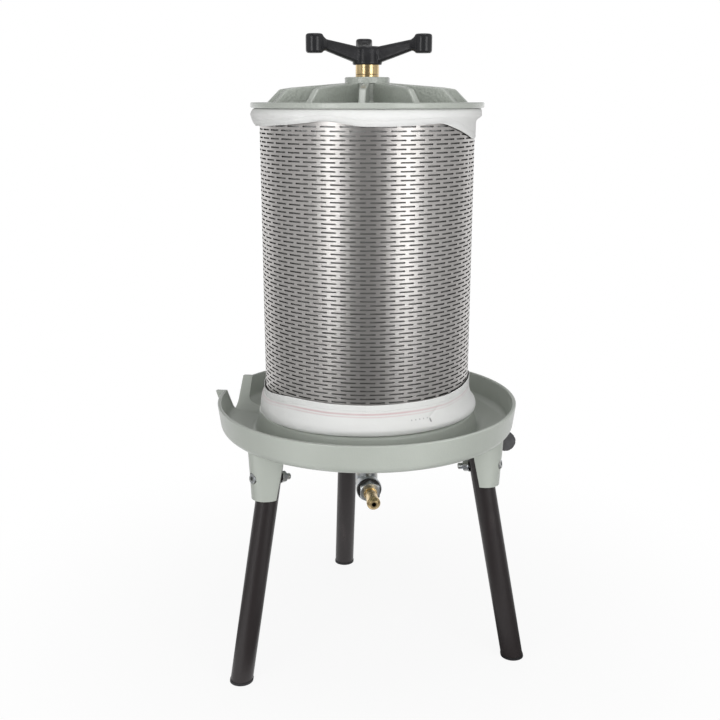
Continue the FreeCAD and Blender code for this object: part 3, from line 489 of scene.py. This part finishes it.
def hill(azimuth, centre, half):
    """Soft bump of height 1 round an azimuth, all in degrees."""
    away = (np.degrees(azimuth) - centre + 180) % 360 - 180
    return np.exp(-(away / half) ** 2)


def upper_hem(azimuth):
    """Height of the cloth's edge turned out at the top, with its corners a little rounded."""
    turns, heights = zip(*UPPER_HEM)
    hem = np.mean([np.interp(np.degrees(azimuth) + shift, turns, heights, period=360)
                   for shift in range(-3, 4)], axis=0)
    return (hem + 1.2 * waves(azimuth, 5, 2, 6) * (1 - hill(azimuth, -90, 75))) * MM


def lower_hem(azimuth):
    """Height of the cloth's edge turned up round the foot: lowest at the left and highest at the right."""
    lift = 36.8 - 8.8 * hill(azimuth, -172, 30) + 5.0 * hill(azimuth, -6, 26) + 0.7 * waves(azimuth, 2, 2, 9)
    return BASKET_LOW + lift * MM


def bag_rows(azimuth):
    """Rows of (radius, height) along the cloth for each azimuth, from its lower outer edge, through the
    inside of the basket, to its upper outer edge."""
    one = np.ones_like(azimuth)
    sheet, ring = BASKET_RADIUS, RING_RADIUS
    low, high = BASKET_LOW, BASKET_HIGH

    def anchor(radius, height):
        return np.stack([radius * one, height * one], -1)

    def between(share, first, second):
        return first + (second - first) * share

    left = hill(azimuth, 180, 38)
    slump = (3.6 * hill(azimuth, -156, 22) - 2.0 * hill(azimuth, -95, 24) - 3.2 * hill(azimuth, -64, 20)
             + 1.0 * waves(azimuth, 11, 2, 7)) * MM
    bulge = (1.2 * waves(azimuth, 3, 1, 5) + 1.4 * hill(azimuth, -10, 60) - 1.0 * hill(azimuth, -66, 22)) * MM
    neck = sheet + (1.6 + 0.5 * waves(azimuth, 8, 9, 26)) * MM
    hem = lower_hem(azimuth)
    shoulder = low + (13.5 + 2.5 * left) * MM
    cuff = [anchor(neck + 0.4 * MM, hem), anchor(neck, between(0.34, hem, shoulder)),
            anchor(neck + 0.5 * MM, between(0.68, hem, shoulder)),
            anchor(sheet + (4.2 + 1.4 * left) * MM + bulge * 0.6, shoulder),
            anchor(sheet + 8.3 * MM + bulge, low + (6.5 + 1.5 * left) * MM - slump * 0.4),
            anchor(sheet + (8.8 - 0.8 * left) * MM + bulge, low + 1.4 * MM - slump),
            anchor(sheet + (7.0 - 1.5 * left) * MM + bulge * 0.5, low - 1.1 * MM - slump * 0.5),
            anchor(sheet + 4.0 * MM, low - 0.75 * MM), anchor(sheet - 1.2 * MM, low - 0.75 * MM),
            anchor(sheet - 2.3 * MM, low + 0.4 * MM), anchor(sheet - 2.6 * MM, low + 6 * MM)]
    lining = []
    levels = np.linspace(low + 18 * MM, high - 16 * MM, 16)
    for index, level in enumerate(levels):
        swing = azimuth + 0.05 * math.sin(index * 0.9)
        slack = (4.4 + 1.8 * waves(swing, 21, 7, 24) + 1.0 * waves(azimuth, 40 + index, 3, 9)) * MM
        lining.append(anchor(sheet - 2.6 * MM - np.clip(slack, 0.8 * MM, 8 * MM), level))
    # The cloth lies tight on the rim's ring at the right, and stands off it at the left.
    tight = hill(azimuth, -6, 36)
    puff = ((0.9 * waves(azimuth, 14, 2, 9) + 0.5 * waves(azimuth, 15, 12, 30)) * (1 - 0.8 * tight)
            + 1.5 * hill(azimuth, -170, 28) - 1.3 * tight) * MM
    edge = upper_hem(azimuth)
    hang = np.clip((RING_LOW - edge) / (25 * MM), 0, 1) * (1 - tight)
    lip = 1.3 * MM * hill(azimuth, -133, 16)
    fold = [anchor(sheet - 2.4 * MM, high - 7 * MM), anchor(sheet - 2.3 * MM, high - 1.2 * MM),
            anchor(sheet - 1.2 * MM, high + 0.75 * MM), anchor(sheet + 3.5 * MM, high + 0.8 * MM),
            anchor(ring - 0.5 * MM, high + 0.7 * MM), anchor(ring + 1.3 * MM + puff * 0.4, high - 1.4 * MM),
            anchor(ring + 2.1 * MM + puff, high - 5.0 * MM),
            anchor(ring + 1.7 * MM + puff, RING_LOW + 0.6 * MM),
            anchor(between(tight, ring + 0.6 * MM - 2.6 * MM * hang + puff, sheet + 1.3 * MM),
                   between(tight, edge * 0.55 + RING_LOW * 0.45, RING_LOW - 4.5 * MM)),
            anchor(between(tight, ring - 1.4 * MM - 2.8 * MM * hang + puff * 0.7, sheet + 0.9 * MM),
                   between(tight, edge * 0.9 + RING_LOW * 0.1, edge * 0.6 + RING_LOW * 0.4)),
            anchor(between(tight, ring - 2.2 * MM - 2.6 * MM * hang + puff * 0.5 + lip, sheet + MM), edge)]
    return smooth_path(cuff + lining + fold, 6)


def press_bag_mesh(around=540):
    """The press cloth as one sheet, and its length from its lower outer edge to its upper outer edge.

    The map runs from the lower edge in the lower half and to the upper edge in the upper half, so that the
    selvedge's stripe and the hems keep their distance from their edge.
    """
    azimuth = np.linspace(-math.pi, math.pi, around, endpoint=False)
    rows = bag_rows(azimuth)
    radius, height = rows[..., 0], rows[..., 1]
    steps = np.hypot(np.diff(radius, axis=0), np.diff(height, axis=0))
    lengths = np.concatenate([np.zeros((1, around)), np.cumsum(steps, axis=0)])
    left_over = lengths[-1] - lengths
    outside_low = np.clip(1 - lengths / (45 * MM), 0, 1)
    outside_high = np.clip(1 - left_over / (35 * MM), 0, 1)
    # One slanting pleat at the front of the foot, then fine tucks at both ends and creases in the top hem.
    rise = (height - BASKET_LOW) / MM
    pleat = np.degrees(azimuth) + 56.5 - (rise - 15) * 0.62
    crease = np.exp(-(pleat / 0.9) ** 2 - ((rise - 18.5) / 6) ** 2)
    radius = radius - np.minimum(outside_low * 4, 1) * 1.2 * MM * crease
    tucks = waves(azimuth, 31, 30, 60) * 0.22 * MM
    creases = waves(azimuth + (height - RING_LOW) / MM * 0.012, 52, 5, 17) * 0.55 * MM
    radius = radius + tucks * np.maximum(outside_low, outside_high) + creases * outside_high
    total = lengths[-1].mean()
    share = np.clip(np.linspace(-1.2, 2.2, len(lengths)), 0, 1)[:, None]
    along = lengths * (1 - share) + (total - left_over) * share
    points = round_spindle(radius, azimuth, height)
    return skin_mesh("press_cloth", points, (2 * math.pi * BASKET_RADIUS, along)), float(total)


def slotted_wall_mesh(sizes):
    """Basket wall as bands of cells, each a piece of sheet round one slot, half a cell on from row to row.

    The outer and inner skins and the slots' walls don't share corners, so each is shaded by itself. The
    The inner skin and the slots' walls take the second finish, a darkened steel that paints the shade inside
    the slots.
    """
    outer, inner = BASKET_RADIUS, BASKET_RADIUS - BASKET_SHEET
    cell = 2 * math.pi / sizes.slots_around
    bottom, top = BASKET_LOW + sizes.blank_end, BASKET_HIGH - sizes.blank_end
    rows = int((top - bottom) / sizes.slot_pitch)
    half = sizes.slot_height / 2
    tip = sizes.slot_length / 2 / outer
    square = tip - half * 0.6 / outer
    # Corners of one cell, as (azimuth from its middle, height from its middle), and the azimuths of its edge.
    sides = [(-cell / 2, 0), (cell / 2, 0)]
    edge = [cell * (k / 4 - 0.5) for k in range(5)]
    slot = [(-tip, 0), (-square, half), (0, half), (square, half), (tip, 0)]

    def cell_faces(lift):
        """Faces of the half of a cell above or below its slot, as corners that turn the same way."""
        up = lift * sizes.slot_pitch / 2
        e = [(a, up) for a in edge]
        s = [(a, lift * h) for a, h in slot]
        faces = [[sides[0], s[0], s[1], e[0]], [e[0], s[1], e[1]], [e[1], s[1], s[2], e[2]],
                 [e[2], s[2], s[3], e[3]], [e[3], s[3], e[4]], [e[4], s[3], s[4], sides[1]]]
        return faces if lift > 0 else [face[::-1] for face in faces]

    pattern = cell_faces(1) + cell_faces(-1)
    loop = slot + [(a, -h) for a, h in slot[-2:0:-1]]
    points, faces, normals, painted_shade_faces = [], [], [], []

    # The last argument is 1 for faces that take the painted shade finish.
    def add_face(corners, radii, facing, cut=0):
        painted_shade_faces.append(cut)
        start = len(points)
        azimuth = np.array([a for a, _ in corners])
        points.extend(round_spindle(np.array(radii), azimuth, np.array([z for _, z in corners])).tolist())
        faces.append(list(range(start, start + len(corners))))
        normals.extend([facing(a) for a in azimuth])

    def outward(a):
        return (math.cos(a), math.sin(a), 0.0)

    def inward(a):
        return (-math.cos(a), -math.sin(a), 0.0)

    for row in range(rows):
        level = bottom + (row + 0.5) * sizes.slot_pitch
        for index in range(sizes.slots_around):
            middle = cell * (index + 0.5 * (row % 2))
            for face in pattern:
                placed = [(middle + a, level + z) for a, z in face]
                add_face(placed, [outer] * len(placed), outward)
                add_face(placed[::-1], [inner] * len(placed), inward, 1)
            for (a0, z0), (a1, z1) in zip(loop, loop[1:] + loop[:1]):
                wall = [(middle + a0, level + z0), (middle + a1, level + z1), (middle + a1, level + z1),
                        (middle + a0, level + z0)]
                flat = np.array([(a1 - a0) * outer, z1 - z0])
                across = np.array([flat[1], -flat[0]]) / np.hypot(*flat)
                turn = middle + (a0 + a1) / 2
                facing = (-math.sin(turn) * across[0], math.cos(turn) * across[0], across[1])
                add_face(wall, [outer, outer, inner, inner], lambda a, facing=facing: facing, 1)
    # Plain ends of the sheet, then its two cut edges.
    strips = [(cell / 4 * k, cell / 4 * (k + 1)) for k in range(sizes.slots_around * 4)]
    for low, high in ((BASKET_LOW, bottom), (bottom + rows * sizes.slot_pitch, BASKET_HIGH)):
        for a0, a1 in strips:
            quad = [(a0, low), (a1, low), (a1, high), (a0, high)]
            add_face(quad, [outer] * 4, outward)
            add_face(quad[::-1], [inner] * 4, inward)
    for level, facing in ((BASKET_LOW, (0.0, 0.0, -1.0)), (BASKET_HIGH, (0.0, 0.0, 1.0))):
        for a0, a1 in strips:
            quad = [(a0, level), (a1, level), (a1, level), (a0, level)]
            add_face(quad, [outer, outer, inner, inner], lambda a, facing=facing: facing)
    mesh = bpy.data.meshes.new("basket_wall")
    mesh.from_pydata(points, [], faces)
    mesh.polygons.foreach_set("use_smooth", np.ones(len(mesh.polygons), bool))
    mesh.polygons.foreach_set("material_index", painted_shade_faces)
    mesh.normals_split_custom_set(normals)
    mesh.update()
    return mesh


def bladder_mesh(around=160, levels=120):
    """Slack rubber sleeve: gripped ends, and lengthwise folds in its middle."""
    azimuth = np.linspace(0, 2 * math.pi, around, endpoint=False)[None, :]
    share = np.linspace(0, 1, levels)[:, None]
    grip_low, grip_high = 25.5 * MM, 21.5 * MM
    swell_low = np.clip((share - 0.05) / 0.10, 0, 1)
    swell_high = np.clip((0.95 - share) / 0.12, 0, 1)
    soft_low = swell_low ** 2 * (3 - 2 * swell_low)
    soft_high = swell_high ** 2 * (3 - 2 * swell_high)
    grip = grip_low + (grip_high - grip_low) * share
    radius = grip + (BLADDER_RADIUS - 0.4 * MM - grip) * soft_low * soft_high
    lean = azimuth + 0.25 * share + 0.06 * waves(share * 2 * math.pi, 7, 1, 4)
    folds = (0.5 + 0.5 * np.cos(7 * lean)) ** 3 * 4.5 + (0.5 + 0.5 * np.cos(11 * lean + 1.0)) ** 4 * 2.0
    radius = radius - folds * MM * soft_low * soft_high
    height = BLADDER_LOW + (BLADDER_HIGH - BLADDER_LOW) * share
    mesh = skin_mesh("bladder_rubber", round_spindle(radius, azimuth, height))
    cap_ends(mesh, around)
    return mesh


def spindle_mesh(pitch, around=72):
    """Turned spindle with its flange, hub and collar, and a rounded screw thread at its top."""
    low, high, screw = BLADDER_LOW, BLADDER_HIGH, BLADDER_HIGH + 11 * MM
    core, centre = 10 * MM, 0.1 * MM
    # Radius and height of each corner: shank, flange, hub under the bladder, rod and collar over the bladder.
    profile = np.array([
        (centre, SPINDLE_LOW), (12.2 * MM, SPINDLE_LOW), (13.2 * MM, SPINDLE_LOW + MM),
        (13.2 * MM, low - 9 * MM), (32 * MM, low - 9 * MM), (32 * MM, low - 2.5 * MM), (30.5 * MM, low - MM),
        (22 * MM, low - MM), (22 * MM, low + 16 * MM), (20.5 * MM, low + 18 * MM), (core, low + 26 * MM),
        (core, high - 25 * MM), (18 * MM, high - 17 * MM), (18 * MM, high + MM), (16 * MM, high + 3 * MM),
        (core, high + 3.2 * MM), (core, screw - 2 * MM)])
    azimuth = np.linspace(0, 2 * math.pi, around, endpoint=False)[None, :]
    radius = profile[:, :1] + 0 * azimuth
    height = profile[:, 1:] + 0 * azimuth
    rise = np.arange(screw, SPINDLE_HIGH - 1.5 * MM, pitch / 10)[:, None]
    phase = rise / pitch - azimuth / (2 * math.pi)
    tooth = np.clip(abs((phase % 1.0) - 0.5) * 3.2 - 0.3, 0, 1)
    run_in = np.clip((rise - screw) / (4 * MM), 0, 1)
    thread = core - 1.3 * MM * tooth * run_in
    tip = np.array([[8.4 * MM, SPINDLE_HIGH], [centre, SPINDLE_HIGH]])
    radius = np.concatenate([radius, thread, tip[:, :1] + 0 * azimuth])
    height = np.concatenate([height, rise + 0 * azimuth, tip[:, 1:] + 0 * azimuth])
    return skin_mesh("spindle_turned", round_spindle(radius, azimuth, height))


def melted_copy(node, name, voxel, passes):
    """Copy of a moulded node with its edges and inside corners run together as they come out of a mould."""
    source = frame["nodes"][node]
    copy = bpy.data.objects.new(name, source.data.copy())
    bpy.context.scene.collection.objects.link(copy)
    remesh = copy.modifiers.new("remesh", "REMESH")
    remesh.mode = "VOXEL"
    remesh.voxel_size = voxel
    soften = copy.modifiers.new("soften", "SMOOTH")
    soften.factor = 0.5
    soften.iterations = passes
    graph = bpy.context.evaluated_depsgraph_get()
    mesh = bpy.data.meshes.new_from_object(copy.evaluated_get(graph))
    bpy.data.objects.remove(copy)
    mesh.name = name
    mesh.materials.clear()
    shade(mesh, 60)
    return mesh


class PRESS_OT_castings(bpy.types.Operator):
    """Enamels the bowl and the lid"""

    bl_idname = "press.castings"
    bl_label = "Castings"

    def execute(self, context):
        colour = context.scene.press_colours.enamel
        dress(["juice_bowl"], enamel("bowl_enamel", colour, hammer=0.12))
        dress(["lid"], enamel("lid_enamel", colour, hammer=0.9))
        return {"FINISHED"}


class PRESS_OT_legs(bpy.types.Operator):
    """Coats the leg tubes and finishes their end caps"""

    bl_idname = "press.legs"
    bl_label = "Legs"

    def execute(self, context):
        colours = context.scene.press_colours
        dress(LEGS, powder_coat(colours.leg_coat))
        dress(FOOT_CAPS, moulded_black("cap_plastic", colours.plastic, roughness=0.5, grain=0.0002))
        return {"FINISHED"}


class PRESS_OT_fittings(bpy.types.Operator):
    """Plates the bolts and the pipe fittings, and finishes the brass and the seals"""

    bl_idname = "press.fittings"
    bl_label = "Fittings"

    def execute(self, context):
        colours = context.scene.press_colours
        dress(ZINC_PIECES, zinc_plate(colours.zinc))
        dress(BRASS_PIECES, turned_metal("turned_brass", colours.brass, roughness=0.16, tarnish=0.35))
        dress(SEALS, moulded_black("seal_rubber", colours.rubber, roughness=0.6, grain=0.0002))
        dress(BANDS, rolled_steel("band_steel", colours.steel, roughness=0.20))
        return {"FINISHED"}


class PRESS_OT_spindle(bpy.types.Operator):
    """Turns the spindle and cuts its screw"""

    bl_idname = "press.spindle"
    bl_label = "Spindle"

    def execute(self, context):
        mesh = spindle_mesh(context.scene.press_sizes.screw_pitch)
        shade(mesh)
        colour = context.scene.press_colours.steel
        steel = turned_metal("spindle_steel", colour, roughness=0.22, tarnish=0.12)
        piece = add_piece("spindle_turned", mesh, steel, "stand")
        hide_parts("spindle")
        return {"FINISHED"}


class PRESS_OT_bladder(bpy.types.Operator):
    """Makes the slack rubber bladder"""

    bl_idname = "press.bladder"
    bl_label = "Bladder"

    def execute(self, context):
        mesh = bladder_mesh()
        shade(mesh, 50)
        colour = context.scene.press_colours.rubber
        rubber = moulded_black("bladder_rubber", colour, roughness=0.38, grain=0.0003)
        piece = add_piece("bladder_sleeve", mesh, rubber, "stand")
        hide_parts("bladder")
        return {"FINISHED"}


class PRESS_OT_basket(bpy.types.Operator):
    """Punches the slotted basket wall and finishes its rings"""

    bl_idname = "press.basket"
    bl_label = "Basket"

    def execute(self, context):
        colour = context.scene.press_colours.steel
        steel = rolled_steel("basket_steel", colour, roughness=0.25)
        dress(BASKET_RINGS, steel)
        mesh = slotted_wall_mesh(context.scene.press_sizes)
        piece = add_piece("basket_wall", mesh, steel, "pressing_basket")
        # Painted shade: steel darkened to about a third, for the inner skin and the slots' walls, so the
        # slots look dark.
        dark = [channel * 0.35 for channel in colour]
        piece.data.materials.append(turned_metal("painted_slot_shade", dark, roughness=0.5, tarnish=0.6))
        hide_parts("basket")
        return {"FINISHED"}


class PRESS_OT_bag(bpy.types.Operator):
    """Lays the press cloth in the basket and turns it out over both ends"""

    bl_idname = "press.bag"
    bl_label = "Press bag"

    def execute(self, context):
        scene = context.scene
        mesh, length = press_bag_mesh()
        colours = scene.press_colours
        cloth = woven_cloth(colours.cloth, colours.stripe, (0.0, length))
        shade(mesh, 80)
        piece = add_piece("press_cloth", mesh, cloth, "pressing_basket")
        thickness = piece.modifiers.new("thickness", "SOLIDIFY")
        thickness.thickness = scene.press_sizes.cloth_thickness
        thickness.offset = 0.0
        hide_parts("press_bag")
        return {"FINISHED"}


class PRESS_OT_handles(bpy.types.Operator):
    """Moulds the hand star and the vent knob"""

    bl_idname = "press.handles"
    bl_label = "Hand star and knob"

    def execute(self, context):
        colours = context.scene.press_colours
        plastic = moulded_black("black_moulding", colours.plastic, roughness=0.20, grain=0.0001)
        mesh = melted_copy("star_handle", "hand_star", voxel=0.8 * MM, passes=6)
        star = add_piece("hand_star", mesh, plastic, "handle")
        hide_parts("star_handle")
        dress(["vent_knob"], moulded_black("dusty_moulding", colours.knob, roughness=0.55, grain=0.0003))
        return {"FINISHED"}


def area_lamp(name, place, aim, size, power):
    """Soft box lamp at a place, facing a point."""
    data = bpy.data.lights.new(name, "AREA")
    data.shape = "RECTANGLE"
    data.size, data.size_y = size
    data.energy = power
    lamp = bpy.data.objects.new(name, data)
    bpy.context.scene.collection.objects.link(lamp)
    lamp.location = place
    lamp.rotation_euler = (Vector(aim) - Vector(place)).to_track_quat("-Z", "Y").to_euler()
    return lamp


def studio_world():
    """White backdrop for the camera, plain light for matt surfaces, and a studio round about for gloss:
    white low behind the object, dim at the sides and dark at the camera's side. The plain light is stronger
    from the camera's side."""
    world = bpy.data.worlds.new("studio")
    bpy.context.scene.world = world
    world.use_nodes = True
    tree = world.node_tree
    background = tree.nodes["Background"]
    background.inputs["Color"].default_value = (1, 1, 1, 1)
    recipe = Recipe(tree)
    across, ahead, up = recipe.split(recipe.node("TexCoord", {}, {}, "Generated"))
    behind = ahead / (across * across + ahead * ahead).root().at_least(0.001)
    low = 1.0 - up.above(0.16, 0.10)
    gloss = (0.155 + behind.above(-0.40, 0.35) * 0.285 + behind.near(-0.32, 0.24, 0.8) * 0.16
             + behind.above(0.56, 0.12) * low * 0.56)
    path = recipe.node("LightPath", {}, {}, "Is Camera Ray")
    shine = recipe.node("LightPath", {}, {}, "Is Glossy Ray")
    plain = 0.24 + (0.0 - ahead).above(0.35, 0.65) * 0.58
    strength = plain + shine * (gloss - plain) + path * (1.0 - plain)
    tree.links.new(strength.socket, background.inputs["Strength"])


def floor_material():
    """White floor that keeps the object's shadow and fades into the backdrop away from it.

    In the object's gloss its front is dark, apart from a bright patch at each side.
    """
    recipe = Finish("floor", {"Roughness": 0.9, "Specular IOR Level": 0.1, "Emission Strength": 1.0})
    spot = recipe.place()
    reach = recipe.node("VectorMath", {"operation": "LENGTH"}, {0: spot}, 1)
    across, ahead = (part / reach for part in recipe.split(spot)[:2])
    patches = across.near(-0.75, 0.16, 0.8) * 0.6 + across.near(0.50, 0.22, 0.8) * 0.3
    close = 1.0 + (1.0 - reach.above(0.88, 0.10)) * 1.2
    bright = 0.13 + ahead.above(0.15, 0.45) * 0.75 + patches * close * (1.0 - ahead.above(-0.10, 0.20))
    shine = recipe.node("LightPath", {}, {}, "Is Glossy Ray")
    recipe.feed("Base Color", recipe.mix(shine, rgba((0.85, 0.85, 0.85)), rgba((0, 0, 0))))
    recipe.feed("Emission Color", recipe.mix(shine * bright, rgba((0, 0, 0)), rgba((0.9, 0.9, 0.9))))
    glow = recipe.node("Emission", {}, {"Color": (1, 1, 1, 1), "Strength": 1.0})
    seen = recipe.node("LightPath", {}, {}, "Is Camera Ray")
    share = seen * (0.90 + reach.above(0.42, 0.30) * 0.10)
    blend = recipe.node("MixShader", {}, {0: share, 1: Signal(recipe, recipe.surface.outputs[0]), 2: glow})
    recipe.tree.links.new(blend.socket, recipe.tree.nodes["Material Output"].inputs["Surface"])
    return recipe.material


class PRESS_OT_stage(bpy.types.Operator):
    """Sets the floor, the soft lamps, the backdrop and the camera"""

    bl_idname = "press.stage"
    bl_label = "Stage"

    def execute(self, context):
        scene = context.scene
        angles = np.linspace(0, 2 * math.pi, FLOOR_CORNERS, endpoint=False)
        rim = [(FLOOR_RADIUS * math.cos(a), FLOOR_RADIUS * math.sin(a), 0) for a in angles]
        mesh = bpy.data.meshes.new("floor")
        mesh.from_pydata(rim, [], [list(range(len(rim)))])
        mesh.materials.append(floor_material())
        floor = bpy.data.objects.new("floor", mesh)
        scene.collection.objects.link(floor)
        floor.location.z = -FLOOR_DROP
        for name, azimuth, width, power in SIDE_BOXES:
            turn = math.radians(azimuth)
            place = (SIDE_REACH * math.cos(turn), SIDE_REACH * math.sin(turn), SIDE_HEIGHT)
            area_lamp(name, place, (0, 0, SIDE_HEIGHT), (width, SIDE_TALL), power)
        for name, place, size, power, in_gloss in FILL_BOXES:
            area_lamp(name, place, (0, 0, 0.45), size, power).visible_glossy = in_gloss
        studio_world()
        data = bpy.data.cameras.new("camera")
        data.sensor_width = CAMERA_SENSOR
        data.lens = CAMERA_LENS
        camera = bpy.data.objects.new("camera", data)
        scene.collection.objects.link(camera)
        camera.location = CAMERA_PLACE
        camera.rotation_euler = Euler((math.radians(90 - CAMERA_PITCH), 0, math.radians(-CAMERA_YAW)))
        scene.camera = camera
        scene.view_settings.view_transform = "Standard"
        return {"FINISHED"}


OPERATORS = (PRESS_OT_castings, PRESS_OT_legs, PRESS_OT_fittings, PRESS_OT_spindle, PRESS_OT_bladder,
             PRESS_OT_basket, PRESS_OT_bag, PRESS_OT_handles, PRESS_OT_stage)


class PRESS_PT_panel(bpy.types.Panel):
    """Lists the steps that dress the press"""

    bl_idname = "PRESS_PT_panel"
    bl_label = "Fruit press"
    bl_space_type = "VIEW_3D"
    bl_region_type = "UI"
    bl_category = "Press"

    def draw(self, context):
        for operator in OPERATORS:
            self.layout.operator(operator.bl_idname)
        for settings in (context.scene.press_colours, context.scene.press_sizes):
            for name in settings.bl_rna.properties.keys():
                if name not in ("rna_type", "name"):
                    self.layout.prop(settings, name)


CLASSES = (PressColours, PressSizes) + OPERATORS + (PRESS_PT_panel,)


def register():
    for item in CLASSES:
        bpy.utils.register_class(item)
    bpy.types.Scene.press_colours = bpy.props.PointerProperty(type=PressColours)
    bpy.types.Scene.press_sizes = bpy.props.PointerProperty(type=PressSizes)


def unregister():
    del bpy.types.Scene.press_sizes
    del bpy.types.Scene.press_colours
    for item in reversed(CLASSES):
        bpy.utils.unregister_class(item)


def main():
    """Dresses the press piece by piece and stages it."""
    register()
    bpy.ops.press.castings()
    bpy.ops.press.legs()
    bpy.ops.press.fittings()
    bpy.ops.press.spindle()
    bpy.ops.press.bladder()
    bpy.ops.press.basket()
    bpy.ops.press.bag()
    bpy.ops.press.handles()
    bpy.ops.press.stage()


if __name__ == "__main__":
    main()
